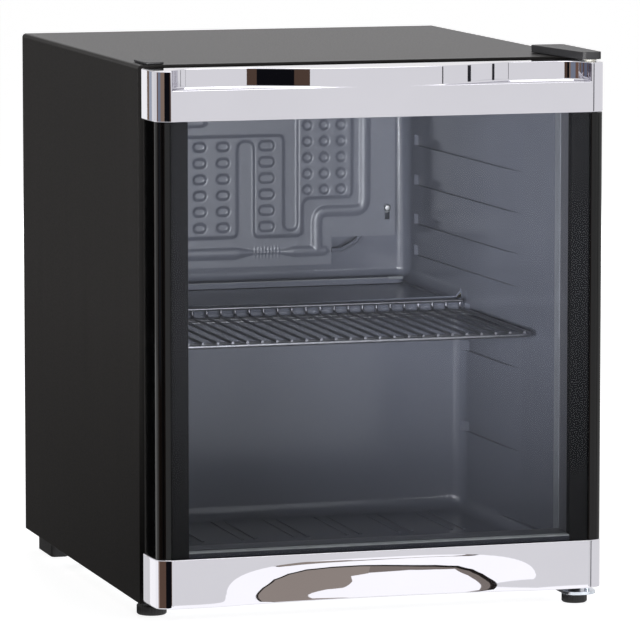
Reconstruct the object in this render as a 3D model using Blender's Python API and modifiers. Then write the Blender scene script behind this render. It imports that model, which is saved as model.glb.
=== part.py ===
# Countertop refrigerator with a glass door: separate pieces around a door hinge, a sliding wire shelf,
# a thermostat knob and two screw feet. Metres, +Z up, front towards -Y, right-hand hinge towards +X.
import math

import bmesh
import bpy
from mathutils import Vector

# Overall sizes. A depth runs back from the flat front of the door, a level runs up from the cavity floor.
CABINET_WIDTH = 0.430
OVERALL_DEPTH = 0.520
CABINET_HEIGHT = 0.4972
FOOT_HEIGHT = 0.0134
SEAT_GAP = 0.0004
OVERCUT = 0.020

# Sheet metal
STEEL = 0.0010
SHELL_CORNER = 0.0040
SHELL_LIP = 0.0117
PAN_UPSTAND = 0.0126

# Liner and cavity
LINER_SHEET = 0.0020
SIDE_WALL = 0.0273
TOP_WALL = 0.0366
FLOOR_WALL = 0.0356
REAR_WALL = 0.0380
LINER_DRAFT_RATIO = 0.0197
COVE = 0.0130
COVE_STEPS = 3
STEP_DEPTH = 0.1740
STEP_HEIGHT = 0.2075
SILL_HEIGHT = 0.0095
SILL_DEPTH = 0.0100
STEP_ROUND = 0.0090
LEDGE = 0.0003
SLAB_RISE = 0.0045
SLOT_HEIGHT = 0.0105
SHELF_LEVEL = 0.1930
SLOT_LEVELS = (0.0765, 0.1565, SHELF_LEVEL, 0.2345, 0.2660, 0.3055, 0.3455)
SLOT_LEAD = 0.0874
RAMP_LENGTH = 0.0390
UPPER_SLOT_STOP = 0.0200
LOWER_SLOT_STOP = 0.0035
FLOOR_RIB_PAIRS = 6
FLOOR_RIB_PITCH = 0.0520
FLOOR_RIB_SPACING = 0.0130
FLOOR_RIB_WIDTH = 0.0030
FLOOR_RIB_HEIGHT = 0.0012
FLOOR_RIB_LENGTH = 0.1100
FLOOR_RIB_SETBACK = 0.0200

# Compressor bay
BAY_FOAM = 0.0350
BAY_ROOF_FOAM = 0.0285

# Condenser tubes behind the side sheets
COIL_TUBE = 0.0025
COIL_RUNS = 6
COIL_PITCH = 0.0420
COIL_SETBACK = 0.0430
COIL_MARGIN = 0.0450

# Evaporator plate
PLATE_THICKNESS = 0.0015
PLATE_STANDOFF = 0.0180
PLATE_SIDE_GAP = 0.0203
PLATE_TOP_GAP = 0.0120
PLATE_STEP_GAP = 0.0201
TAB_DROP = 0.0274
TAB_INSET = 0.0668
INFLATION = 0.0022
PANEL_EDGE = 0.0016
CORNER_ROUND = 0.0080
PIPE_RADIUS = 0.0048
PIPE_FLATNESS = 0.62
DIMPLE_PITCH = 0.0162
OVAL_SPACING = 0.0241
OVAL_LENGTH = 0.0086
OVAL_HEIGHT = 0.0060
ROUND_COLUMNS = 3
ROUND_SPACING = 0.0175
ROUND_DIMPLE = 0.0058
SCREW_RADIUS = 0.0022
SCREW_HEAD = 0.0038
KEYHOLE_ROUND = 0.0014
SPACER_RADIUS = 0.0055
CAPILLARY_RADIUS = 0.0025
CAPILLARY_REACH = 0.0400
CAPILLARY_RISE = 0.0120

# Drip gutter
GUTTER_DEPTH = 0.0200
GUTTER_HEIGHT = 0.0055
GUTTER_WALL = 0.0016

# Wire shelf
SHELF_WIRE = 0.0020
SHELF_RIB = 0.0014
SHELF_CROSS = 0.0017
SHELF_WELD = 0.0008
SHELF_RIBS = 25
RIB_INSET = 0.0082
SHELF_DEPTH = 0.1960
SHELF_REAR_GAP = 0.0010
SHELF_SIDE_GAP = 0.0012
SHELF_CORNER = 0.0100
SHELF_LIP_RISE = 0.0085
SHELF_CROSSES = 2

# Door
DOOR_DEPTH = 0.0470
SEAL_DEPTH = 0.0176
RAIL_OVERHANG = 0.0010
RAIL_CORNER = 0.0128
RAIL_FLOOR = 0.0040
TOP_RAIL_HEIGHT = 0.0458
BOTTOM_RAIL_HEIGHT = 0.0453
DOOR_TOP_DROP = 0.0016
DOOR_BOTTOM_RISE = 0.0051
RECESS_HEIGHT = 0.0175
RECESS_DEPTH = 0.0280
RECESS_END = 0.0250
RECESS_CREST = 0.0150
RECESS_FLAT = 0.1350
RECESS_PROUD = 0.0005
SEAT_ROOF = 0.0020
SCOOP_HALF = 0.1505
SCOOP_HEIGHT = 0.0370
SCOOP_DEPTH = 0.0090
SCOOP_BULGE = 0.0200
SCOOP_SQUARENESS = 4
STILE_INSET = 0.0015
STILE_SETBACK = 0.0025
STILE_WIDTH = 0.0137
PANE = 0.0040
PANE_SETBACK = 0.0027
PANE_BITE = 0.0080
SPACER_DEPTH = 0.0090
BORDER_WIDTH = 0.0170
FRAME_BAR = 0.0125
FRAME_MARGIN = 0.0040
GASKET_WIDTH = 0.0117
GASKET_SILL_LAP = 0.0068
GASKET_TOP_LAP = 0.0030
DART_WIDTH = 0.0032
DART_DEPTH = 0.0055
DART_ROOT = 0.0028
GASKET_ROUND = 0.0012

# Hinges, on the right-hand side
HINGE_INSET = 0.0080
HINGE_DEPTH = 0.0240
PIN_RADIUS = 0.0025
PIN_LENGTH = 0.0125
BUSH_RADIUS = 0.0040
BUSH_FLANGE = 0.0058
BUSH_FLANGE_THICKNESS = 0.0008
HINGE_PLATE = 0.0030
HINGE_PLATE_LENGTH = 0.1030
HINGE_PLATE_WIDTH = 0.0260
HINGE_NOSE_WIDTH = 0.0120
HINGE_EDGE = 0.0040
HINGE_NOSE = 0.0080
HINGE_COVER_HEIGHT = 0.0069
HINGE_COVER_WALL = 0.0015
HINGE_COVER_ROOM = 0.0025
HINGE_SCREW_HEAD = 0.0035
HINGE_SCREW_CROWN = 0.0016
HINGE_SCREW_SHANK = 0.0017
HINGE_SCREW_SETBACK = 0.0120
HINGE_SCREW_PITCH = 0.0260
BLANK_WIDTH = 0.0190
BLANK_LENGTH = 0.0440
BLANK_THICKNESS = 0.0020
BLANK_EDGE = 0.0070
BRACKET_NOSE = 0.0120
BRACKET_WIDTH = 0.0310
BRACKET_LENGTH = 0.1080

# Feet
STUD_RADIUS = 0.0034
LEFT_FOOT_RADIUS = 0.0150
LEFT_FOOT_SETBACK = 0.0220
RIGHT_FOOT_RADIUS = 0.0120
RIGHT_FOOT_INSET = 0.0080
RIGHT_FOOT_SETBACK = 0.0130
FOOT_HEAD = 0.0088
REAR_FOOT_WIDTH = 0.0170
REAR_FOOT_LENGTH = 0.0580
REAR_FOOT_FROM_BACK = 0.0450

# Machinery in the bay
CROSSBAR_DEPTH = 0.1330
CROSSBAR_FROM_BACK = 0.0150
CROSSBAR_FLANGE = 0.0100
CROSSBAR_PLATE = 0.0016
GROMMET_HEIGHT = 0.0142
GROMMET_RADIUS = 0.0080
GROMMET_WAIST = 0.0055
GROMMET_SPREAD_X = 0.0620
GROMMET_SPREAD_Y = 0.0360
COMPRESSOR_FROM_SIDE = 0.1650
COMPRESSOR_FROM_BACK = 0.0830
COMPRESSOR_RADIUS = 0.0570
COMPRESSOR_HEIGHT = 0.1380
COMPRESSOR_FOOT = 0.0030
FOOT_PLATE_MARGIN = 0.0130
WELD_RIM = 0.0022
WELD_RIM_HEIGHT = 0.0060
RELAY_SIZE = (0.0300, 0.0450, 0.0550)
RELAY_LEVEL = 0.0450
DRIER_RADIUS = 0.0090
DRIER_LENGTH = 0.1000
DRIER_NECK = 0.0028
DRIER_FROM_SIDE = 0.1000
DRIER_FROM_PANEL = 0.0540
DRIER_LEVEL = 0.0450
TUBE_RADIUS = 0.0030
TUBE_BEND = 0.0150
DISCHARGE_FROM_SIDE = 0.0634
SUCTION_STANDOFF = 0.0140
TRAY_SIZE = (0.1200, 0.1000, 0.0190)
TRAY_WALL = 0.0016
TRAY_LIFT = 0.0030
SPOUT_RADIUS = 0.0060
SPOUT_WALL = 0.0012
THERMOSTAT_SIZE = (0.0550, 0.0280, 0.0560)
THERMOSTAT_FROM_SIDE = 0.0550
THERMOSTAT_FROM_BACK = 0.0130
KNOB_RADIUS = 0.0140
KNOB_DEPTH = 0.0110
KNOB_GRIP = 0.0030
TERMINAL_SIZE = (0.0550, 0.0300, 0.0450)
TERMINAL_FROM_SIDE = 0.0400
TERMINAL_FROM_BACK = 0.0200
GLAND_RADIUS = 0.0080
GLAND_RIM = 0.0012
GLAND_BORE = 0.0035
GLAND_LENGTH = 0.0170

# Values that follow from the sizes above
CABINET_HALF = CABINET_WIDTH / 2
CABINET_TOP = FOOT_HEIGHT + CABINET_HEIGHT
CABINET_FRONT = DOOR_DEPTH + SEAL_DEPTH
FOAM_HALF = CABINET_HALF - STEEL - SEAT_GAP
LIP_INNER = CABINET_HALF - SHELL_LIP
OPENING_HALF = CABINET_HALF - SIDE_WALL
CAVITY_TOP = CABINET_TOP - TOP_WALL
FLOOR = FOOT_HEIGHT + FLOOR_WALL
CAVITY_REAR = OVERALL_DEPTH - REAR_WALL
STEP_FRONT = CAVITY_REAR - STEP_DEPTH
STEP_TOP = FLOOR + STEP_HEIGHT
SILL_TOP = FLOOR + SILL_HEIGHT
RAMP_START = CABINET_FRONT + SLOT_LEAD
BAY_FRONT = STEP_FRONT + LINER_SHEET + BAY_FOAM
BAY_TOP = STEP_TOP - LINER_SHEET - BAY_ROOF_FOAM
BAY_CEILING = BAY_TOP - STEEL
PAN_TOP = FOOT_HEIGHT + STEEL
PANEL_REAR = OVERALL_DEPTH - STEEL
RAIL_HALF = CABINET_HALF + RAIL_OVERHANG
DOOR_TOP = CABINET_TOP - DOOR_TOP_DROP
DOOR_BOTTOM = FOOT_HEIGHT + DOOR_BOTTOM_RISE
TOP_RAIL_BASE = DOOR_TOP - TOP_RAIL_HEIGHT
BOTTOM_RAIL_CREST = DOOR_BOTTOM + BOTTOM_RAIL_HEIGHT
STILE_HALF = RAIL_HALF - STILE_INSET
STILE_INNER = STILE_HALF - STILE_WIDTH
PANE_HALF = STILE_INNER - SEAT_GAP
SPACER_FRONT = PANE_SETBACK + PANE + SEAT_GAP
INNER_PANE_FRONT = SPACER_FRONT + SPACER_DEPTH + SEAT_GAP
FRAME_FRONT = INNER_PANE_FRONT + PANE + SEAT_GAP
FRAME_TOP = DOOR_TOP - RECESS_HEIGHT - SEAT_ROOF - SEAT_GAP
FRAME_LOW = DOOR_BOTTOM + RAIL_FLOOR + SEAT_GAP
FRAME_INNER = OPENING_HALF - LINER_SHEET / 2
FRAME_HALF = FRAME_INNER + FRAME_BAR
GASKET_INNER = FRAME_INNER
GASKET_HALF = GASKET_INNER + GASKET_WIDTH
GASKET_LOW = SILL_TOP - GASKET_SILL_LAP
GASKET_HIGH = CAVITY_TOP + GASKET_TOP_LAP
HINGE_X = CABINET_HALF - HINGE_INSET
CROSSBAR_TOP = FOOT_HEIGHT + CROSSBAR_PLATE
FOOT_PLATE_BASE = CROSSBAR_TOP + GROMMET_HEIGHT + 2 * SEAT_GAP
COMPRESSOR_X = COMPRESSOR_FROM_SIDE - CABINET_HALF
COMPRESSOR_DEPTH = OVERALL_DEPTH - COMPRESSOR_FROM_BACK
COMPRESSOR_TOP = FOOT_PLATE_BASE + COMPRESSOR_HEIGHT
DRIER_X = CABINET_HALF - DRIER_FROM_SIDE
THERMOSTAT_X = CABINET_HALF - THERMOSTAT_FROM_SIDE
TERMINAL_X = TERMINAL_FROM_SIDE - CABINET_HALF

PARTS_NAME = "glass_door_refrigerator"
CUTTERS_NAME = "cutters"
MERGE = 0.000002
FLAT_ANGLE = 0.0001
SLIVER = 0.00003


def clear_scene():
    for item in list(bpy.data.objects):
        bpy.data.objects.remove(item, do_unlink=True)
    for group in list(bpy.data.collections):
        bpy.data.collections.remove(group)


def new_group(name):
    group = bpy.data.collections.new(name)
    bpy.context.scene.collection.children.link(group)
    return group


clear_scene()
PARTS = new_group(PARTS_NAME)
CUTTERS = new_group(CUTTERS_NAME)


def place_y(depth):
    return depth - OVERALL_DEPTH / 2


def wall_half(depth):
    return OPENING_HALF - LINER_DRAFT_RATIO * (depth - CABINET_FRONT)


def slab_half(depth):
    return wall_half(depth) - SLAB_RISE


def slot_half(depth):
    return wall_half(depth) - LEDGE


def lower_half(depth):
    return slab_half(depth) - LEDGE


def add_object(name, data, group, place):
    item = bpy.data.objects.new(name, data)
    item.location = (place[0], place_y(place[1]), place[2])
    group.objects.link(item)
    if group is CUTTERS:
        item.hide_render = True
        item.display_type = "WIRE"
    return item


def finish_mesh(shape, name, round_angle=None):
    bmesh.ops.remove_doubles(shape, verts=shape.verts, dist=MERGE)
    bmesh.ops.recalc_face_normals(shape, faces=shape.faces)
    mesh = bpy.data.meshes.new(name)
    shape.to_mesh(mesh)
    shape.free()
    if round_angle is not None:
        mesh.shade_smooth()
        mesh.set_sharp_from_angle(angle=math.radians(round_angle))
    return mesh


def evaluated_mesh(item, name, round_angle=None):
    bpy.context.view_layer.update()
    graph = bpy.context.evaluated_depsgraph_get()
    raw = bpy.data.meshes.new_from_object(item.evaluated_get(graph))
    shape = bmesh.new()
    shape.from_mesh(raw)
    bpy.data.meshes.remove(raw)
    bpy.data.objects.remove(item, do_unlink=True)
    bmesh.ops.remove_doubles(shape, verts=shape.verts, dist=MERGE)
    bmesh.ops.dissolve_limit(shape, angle_limit=FLAT_ANGLE, verts=shape.verts, edges=shape.edges)
    return finish_mesh(shape, name, round_angle)


def box(name, low, high, group=PARTS):
    size = [top - base for base, top in zip(low, high)]
    centre = [(top + base) / 2 for base, top in zip(low, high)]
    shape = bmesh.new()
    bmesh.ops.create_cube(shape, size=1.0)
    bmesh.ops.scale(shape, vec=size, verts=shape.verts)
    return add_object(name, finish_mesh(shape, name), group, centre)


def tapered_block(name, front, rear, half_at, low, high, grow=0.0, group=CUTTERS):
    # A block across the cabinet whose half width follows half_at along the depth.
    shape = bmesh.new()
    bmesh.ops.create_cube(shape, size=2.0)
    for vert in shape.verts:
        depth = front - grow if vert.co.y < 0 else rear + grow
        half = half_at(depth) + grow
        level = low - grow if vert.co.z < 0 else high + grow
        vert.co = Vector((math.copysign(half, vert.co.x), depth, level))
    return add_object(name, finish_mesh(shape, name), group, (0, 0, 0))


def rounded(corners, radius, steps=3):
    # Replaces each corner of a closed outline with an arc, kept within half of its shorter side.
    points = []
    count = len(corners)
    for index, corner in enumerate(corners):
        here = Vector(corner)
        back = Vector(corners[index - 1]) - here
        ahead = Vector(corners[(index + 1) % count]) - here
        angle = back.angle(ahead)
        reach = min(radius / math.tan(angle / 2), 0.49 * min(back.length, ahead.length))
        arc = reach * math.tan(angle / 2)
        middle = here + (back.normalized() + ahead.normalized()).normalized() * math.hypot(arc, reach)
        start = here + back.normalized() * reach - middle
        end = here + ahead.normalized() * reach - middle
        sweep = math.atan2(start.x * end.y - start.y * end.x, start.dot(end))
        for step in range(steps + 1):
            turn = sweep * step / steps
            points.append((
                middle.x + start.x * math.cos(turn) - start.y * math.sin(turn),
                middle.y + start.x * math.sin(turn) + start.y * math.cos(turn),
            ))
    return points


def rectangle(left, low, right, high):
    return [(left, low), (right, low), (right, high), (left, high)]


def flat_curve(name, outlines, thickness, edge=0.0):
    curve = bpy.data.curves.new(name, "CURVE")
    curve.dimensions = "2D"
    curve.fill_mode = "BOTH"
    curve.extrude = thickness / 2 - edge
    curve.bevel_depth = edge
    curve.bevel_resolution = 0
    curve.offset = -edge
    for outline in outlines:
        spline = curve.splines.new("POLY")
        spline.points.add(len(outline) - 1)
        for point, (across, along) in zip(spline.points, outline):
            point.co = (across, along, 0, 1)
        spline.use_cyclic_u = True
    return curve


def prism(name, outlines, low, high, axis="Z", group=PARTS, edge=0.0, round_angle=None):
    # Outlines after the first are holes. They hold x and depth along Z, x and height along Y, and
    # depth and height along X.
    curve = flat_curve(name, outlines, high - low, edge)
    item = bpy.data.objects.new(name, curve)
    bpy.context.scene.collection.objects.link(item)
    mesh = evaluated_mesh(item, name, round_angle)
    middle = (low + high) / 2
    if axis == "Z":
        return add_object(name, mesh, group, (0, 0, middle))
    for vert in mesh.vertices:
        across, along, out = vert.co
        vert.co = (across, -out, along) if axis == "Y" else (out, across, along)
    return add_object(name, mesh, group, (0, middle, 0) if axis == "Y" else (middle, 0, 0))


def tube(name, points, radius, group=PARTS, sides=1, closed=False, widths=None):
    # A round wire through points given as x, depth and height.
    curve = bpy.data.curves.new(name, "CURVE")
    curve.dimensions = "3D"
    curve.bevel_depth = radius
    curve.bevel_resolution = sides
    curve.use_fill_caps = not closed
    spline = curve.splines.new("POLY")
    spline.points.add(len(points) - 1)
    for index, (point, spot) in enumerate(zip(spline.points, points)):
        point.co = (spot[0], place_y(spot[1]), spot[2], 1)
        point.radius = widths[index] if widths else 1.0
    spline.use_cyclic_u = closed
    item = bpy.data.objects.new(name, curve)
    bpy.context.scene.collection.objects.link(item)
    mesh = evaluated_mesh(item, name, 40)
    return add_object(name, mesh, group, (0, OVERALL_DEPTH / 2, 0))


def bent_path(corners, radius, steps=4):
    # A path through corners in space with an arc at each inner corner.
    path = [Vector(corners[0])]
    for before, here, after in zip(corners, corners[1:], corners[2:]):
        here = Vector(here)
        back = Vector(before) - here
        ahead = Vector(after) - here
        angle = back.angle(ahead)
        reach = min(radius / math.tan(angle / 2), 0.49 * min(back.length, ahead.length))
        for step in range(steps + 1):
            share = step / steps
            first = here + back.normalized() * reach * (1 - share)
            second = here + ahead.normalized() * reach * share
            path.append(first.lerp(second, share))
    path.append(Vector(corners[-1]))
    return path


def turned(name, profile, place, axis="Z", steps=16, group=PARTS, ring=False):
    # Revolves a profile of radius and height pairs, listed from the top down.
    mesh = bpy.data.meshes.new(name)
    shape = bmesh.new()
    verts = [shape.verts.new((radius, 0, height)) for radius, height in profile]
    for first, second in zip(verts, verts[1:]):
        shape.edges.new((first, second))
    if ring:
        shape.edges.new((verts[-1], verts[0]))
    shape.to_mesh(mesh)
    shape.free()
    item = bpy.data.objects.new(name, mesh)
    bpy.context.scene.collection.objects.link(item)
    screw = item.modifiers.new("turn", "SCREW")
    screw.steps = steps
    screw.render_steps = steps
    screw.use_merge_vertices = True
    screw.merge_threshold = MERGE
    solid = add_object(name, evaluated_mesh(item, name, 35), group, place)
    if axis == "Y":
        solid.rotation_euler = (-math.pi / 2, 0, 0)
    return solid


def cylinder(name, radius, low, high, x, depth, group=PARTS, steps=16):
    profile = [(0, high), (radius, high), (radius, low), (0, low)]
    return turned(name, profile, (x, depth, 0), steps=steps, group=group)


def combine(item, tool, operation):
    cut = item.modifiers.new(tool.name, "BOOLEAN")
    cut.operation = operation
    cut.solver = "EXACT"
    cut.object = tool


def cut(item, *tools):
    for tool in tools:
        combine(item, tool, "DIFFERENCE")


def join(item, *tools):
    for tool in tools:
        combine(item, tool, "UNION")


def weld(item):
    seam = item.modifiers.new("weld", "WELD")
    seam.merge_threshold = SLIVER


def gather(name, items):
    # One cutter mesh from several shapes that stay clear of each other.
    shape = bmesh.new()
    for item in items:
        copy = item.data.copy()
        bpy.context.view_layer.update()
        copy.transform(item.matrix_world)
        shape.from_mesh(copy)
        bpy.data.meshes.remove(copy)
        bpy.data.objects.remove(item, do_unlink=True)
    return add_object(name, finish_mesh(shape, name), CUTTERS, (0, OVERALL_DEPTH / 2, 0))


def round_edges(item, width, steps):
    bevel = item.modifiers.new("round", "BEVEL")
    bevel.width = width
    bevel.segments = steps
    bevel.limit_method = "ANGLE"
    bevel.harden_normals = False


def paint(item, colour, roughness, metallic=0.0, clear=0.0):
    material = bpy.data.materials.new(item.name)
    material.use_nodes = True
    shader = material.node_tree.nodes["Principled BSDF"]
    shader.inputs["Base Color"].default_value = (*colour, 1)
    shader.inputs["Roughness"].default_value = roughness
    shader.inputs["Metallic"].default_value = metallic
    shader.inputs["Transmission Weight"].default_value = clear
    item.data.materials.clear()
    item.data.materials.append(material)


BLACK_PAINT = (0.018, 0.017, 0.017)
BLACK_PLASTIC = (0.012, 0.012, 0.013)
GREY_PLASTIC = (0.13, 0.14, 0.165)
ZINC = (0.62, 0.64, 0.66)
CHROME = (0.78, 0.77, 0.80)
COPPER = (0.60, 0.28, 0.16)
FOAM = (0.78, 0.70, 0.45)
RUBBER = (0.02, 0.02, 0.02)


def build_shell():
    top_round = rounded(rectangle(-CABINET_HALF, FOOT_HEIGHT, CABINET_HALF, CABINET_TOP), SHELL_CORNER)
    base_z = FOOT_HEIGHT + 2 * SHELL_CORNER
    outline = [(-CABINET_HALF, FOOT_HEIGHT), (CABINET_HALF, FOOT_HEIGHT)]
    outline += [point for point in top_round if point[1] > base_z]
    shell = prism("cabinet_shell", [outline], CABINET_FRONT, OVERALL_DEPTH, "Y")
    room = box(
        "shell_room",
        (-CABINET_HALF + STEEL, CABINET_FRONT + STEEL, FOOT_HEIGHT - OVERCUT),
        (CABINET_HALF - STEEL, OVERALL_DEPTH + OVERCUT, CABINET_TOP - STEEL),
        CUTTERS,
    )
    window = box(
        "shell_window",
        (-LIP_INNER, CABINET_FRONT - OVERCUT, FOOT_HEIGHT - OVERCUT),
        (LIP_INNER, CABINET_FRONT + OVERCUT, CABINET_TOP - SHELL_LIP),
        CUTTERS,
    )
    cut(shell, room, window)
    paint(shell, BLACK_PAINT, 0.32)


def build_base_pan():
    half = LIP_INNER - SEAT_GAP
    pan = box(
        "base_pan",
        (-half, CABINET_FRONT, FOOT_HEIGHT),
        (half, BAY_FRONT - SEAT_GAP, FOOT_HEIGHT + PAN_UPSTAND),
    )
    cut(pan, box(
        "pan_room",
        (-half - OVERCUT, CABINET_FRONT + STEEL, PAN_TOP),
        (half + OVERCUT, BAY_FRONT + OVERCUT, FOOT_HEIGHT + PAN_UPSTAND + OVERCUT),
        CUTTERS,
    ))
    paint(pan, ZINC, 0.4, 1.0)


def build_rear_panels():
    panel = box(
        "back_panel",
        (-FOAM_HALF, PANEL_REAR - STEEL, BAY_TOP + SEAT_GAP),
        (FOAM_HALF, PANEL_REAR, CABINET_TOP - STEEL - SEAT_GAP),
    )
    paint(panel, BLACK_PAINT, 0.5)
    bay = box(
        "bay_panel",
        (-FOAM_HALF, BAY_FRONT, PAN_TOP + SEAT_GAP),
        (FOAM_HALF, PANEL_REAR, BAY_TOP),
    )
    cut(bay, box(
        "bay_room",
        (-FOAM_HALF - OVERCUT, BAY_FRONT + STEEL, FOOT_HEIGHT - OVERCUT),
        (FOAM_HALF + OVERCUT, OVERALL_DEPTH + OVERCUT, BAY_CEILING),
        CUTTERS,
    ))
    paint(bay, ZINC, 0.4, 1.0)


def cavity_mouth(prefix, front, grow):
    # The opening with its straight walls and the ramps that lead on to the slabs.
    ramp_end = RAMP_START + RAMP_LENGTH
    overrun = ramp_end + RAMP_LENGTH / 4
    ramp_slope = (slab_half(ramp_end) - wall_half(RAMP_START)) / RAMP_LENGTH
    side = [
        (wall_half(front) + grow, front),
        (wall_half(RAMP_START) + grow, RAMP_START),
        (wall_half(RAMP_START) + ramp_slope * (overrun - RAMP_START) + grow, overrun),
    ]
    outline = side + [(-half, depth) for half, depth in reversed(side)]
    return prism(prefix + "_mouth", [outline], SILL_TOP - grow, CAVITY_TOP - COVE / 3 + grow, group=CUTTERS)


def cavity_step_round(prefix, grow):
    # Takes the corner off the compressor step.
    middle = (STEP_FRONT + STEP_ROUND, STEP_TOP - STEP_ROUND)
    radius = STEP_ROUND - grow
    outline = []
    for step in range(COVE_STEPS + 1):
        angle = math.pi / 2 * step / COVE_STEPS
        outline.append((middle[0] - radius * math.cos(angle), middle[1] + radius * math.sin(angle)))
    outline += [
        (middle[0], STEP_TOP + STEP_ROUND),
        (STEP_FRONT - STEP_ROUND, STEP_TOP + STEP_ROUND),
        (STEP_FRONT - STEP_ROUND, middle[1]),
    ]
    half = lower_half(STEP_FRONT + STEP_ROUND) - LEDGE + grow
    return prism(prefix + "_step_round", [outline], -half, half, "X", CUTTERS)


def cavity_slots(prefix, grow):
    slots = []
    front = RAMP_START - RAMP_LENGTH / 4
    for level in SLOT_LEVELS:
        rear = STEP_FRONT - LOWER_SLOT_STOP if level < STEP_HEIGHT else CAVITY_REAR - UPPER_SLOT_STOP
        base = FLOOR + level
        slots.append(tapered_block(
            f"{prefix}_slot_{len(slots)}", front, rear, slot_half, base, base + SLOT_HEIGHT, grow
        ))
    return gather(prefix + "_slots", slots)


def cavity_blocks(prefix, front, grow):
    # The cavity as overlapping shapes: above the compressor step, in front of it, the mouth and the slots.
    back_of_sill = CABINET_FRONT + SILL_DEPTH
    upper = tapered_block(
        prefix + "_upper", back_of_sill, CAVITY_REAR, slab_half, STEP_TOP, CAVITY_TOP, grow
    )
    lower = tapered_block(
        prefix + "_lower", back_of_sill, STEP_FRONT, lower_half, FLOOR, STEP_TOP + 3 * COVE, grow
    )
    for block in (upper, lower):
        round_edges(block, COVE + grow, COVE_STEPS)
    return (
        upper,
        lower,
        cavity_mouth(prefix, front, grow),
        cavity_step_round(prefix, grow),
        cavity_slots(prefix, grow),
    )


def build_liner():
    flange_low = FOOT_HEIGHT + PAN_UPSTAND + SEAT_GAP
    flange_high = CABINET_TOP - SHELL_LIP - SEAT_GAP
    flange_half = LIP_INNER - SEAT_GAP
    liner = box(
        "inner_liner",
        (-flange_half, CABINET_FRONT, flange_low),
        (flange_half, CABINET_FRONT + LINER_SHEET, flange_high),
    )
    join(liner, *cavity_blocks("form", CABINET_FRONT + LINER_SHEET / 2, LINER_SHEET))
    cut(liner, *cavity_blocks("cavity", CABINET_FRONT - OVERCUT, 0.0))
    ribs = []
    for pair in range(FLOOR_RIB_PAIRS):
        centre = (pair - (FLOOR_RIB_PAIRS - 1) / 2) * FLOOR_RIB_PITCH
        for side in (-1, 1):
            x = centre + side * FLOOR_RIB_SPACING / 2
            rear = STEP_FRONT - FLOOR_RIB_SETBACK
            ribs.append(box(
                f"floor_rib_{len(ribs)}",
                (x - FLOOR_RIB_WIDTH / 2, rear - FLOOR_RIB_LENGTH, FLOOR - LINER_SHEET / 2),
                (x + FLOOR_RIB_WIDTH / 2, rear, FLOOR + FLOOR_RIB_HEIGHT),
                CUTTERS,
            ))
    join(liner, gather("floor_ribs", ribs))
    paint(liner, GREY_PLASTIC, 0.25)


def coil_pocket(side):
    depth = CABINET_FRONT + COIL_SETBACK
    inner = FOAM_HALF - 2 * COIL_TUBE - 4 * SEAT_GAP
    edges = sorted((side * inner, side * (FOAM_HALF + OVERCUT)))
    reach = COIL_PITCH * (COIL_RUNS - 1) + 2 * COIL_TUBE
    return box(
        "coil_pocket_left" if side < 0 else "coil_pocket_right",
        (edges[0], depth - 3 * COIL_TUBE, FOOT_HEIGHT + COIL_MARGIN - 3 * COIL_TUBE),
        (edges[1], depth + reach, CABINET_TOP - COIL_MARGIN + 3 * COIL_TUBE),
        CUTTERS,
    )


def build_foam():
    foam = box(
        "insulation_foam",
        (-FOAM_HALF, CABINET_FRONT + LINER_SHEET + SEAT_GAP, PAN_TOP + SEAT_GAP),
        (FOAM_HALF, PANEL_REAR - STEEL - SEAT_GAP, CABINET_TOP - STEEL - SEAT_GAP),
    )
    grow = LINER_SHEET + SEAT_GAP
    front = CABINET_FRONT - OVERCUT
    cut(
        foam,
        tapered_block("foam_upper", front, CAVITY_REAR, wall_half, STEP_TOP, CAVITY_TOP, grow),
        tapered_block("foam_lower", front, STEP_FRONT, slot_half, FLOOR, STEP_TOP + COVE, grow),
        box(
            "foam_bay",
            (-CABINET_HALF - OVERCUT, BAY_FRONT - SEAT_GAP, FOOT_HEIGHT - OVERCUT),
            (CABINET_HALF + OVERCUT, OVERALL_DEPTH + OVERCUT, BAY_TOP + SEAT_GAP),
            CUTTERS,
        ),
        cavity_step_round("foam", grow),
        coil_pocket(-1),
        coil_pocket(1),
    )
    paint(foam, FOAM, 0.9)


def build_condenser_coils():
    low = FOOT_HEIGHT + COIL_MARGIN
    high = CABINET_TOP - COIL_MARGIN
    bend = COIL_PITCH / 2
    bend_steps = 5
    for name, side in (("condenser_coil_left", -1), ("condenser_coil_right", 1)):
        x = side * (FOAM_HALF - COIL_TUBE - 2 * SEAT_GAP)
        points = [(x, CABINET_FRONT + COIL_SETBACK, low)]
        for run in range(COIL_RUNS - 1):
            up = 1 if run % 2 == 0 else -1
            turn_level = high - bend if up > 0 else low + bend
            centre = CABINET_FRONT + COIL_SETBACK + run * COIL_PITCH + bend
            for step in range(bend_steps + 1):
                angle = math.pi * step / bend_steps
                points.append((x, centre - bend * math.cos(angle), turn_level + up * bend * math.sin(angle)))
        last_level = low if (COIL_RUNS - 1) % 2 else high
        points.append((x, CABINET_FRONT + COIL_SETBACK + (COIL_RUNS - 1) * COIL_PITCH, last_level))
        paint(tube(name, points, COIL_TUBE), COPPER, 0.35, 1.0)


PLATE_FRONT = CAVITY_REAR - PLATE_STANDOFF - PLATE_THICKNESS
PLATE_REAR = CAVITY_REAR - PLATE_STANDOFF
PLATE_MIDDLE = (PLATE_FRONT + PLATE_REAR) / 2
PLATE_RIGHT = slab_half(PLATE_REAR) - PLATE_SIDE_GAP
PLATE_TOP = CAVITY_TOP - PLATE_TOP_GAP
TAB_RIGHT = PLATE_RIGHT - TAB_INSET
TAB_LOW = STEP_TOP + PLATE_STEP_GAP
PLATE_LOW = TAB_LOW + TAB_DROP
PANEL_TOP = PLATE_TOP - 0.0060
PANEL_BASE = PLATE_LOW + 0.0006
COMB_TOP = PLATE_TOP - 0.0523
COMB_GAP = 0.0070
FINGER_WIDTH = 0.0135
FINGER_RIGHT = TAB_RIGHT - 0.0829
FINGER_ROOT = COMB_TOP - 0.0090
SLIT_LEFT = TAB_RIGHT - 0.0483
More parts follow.
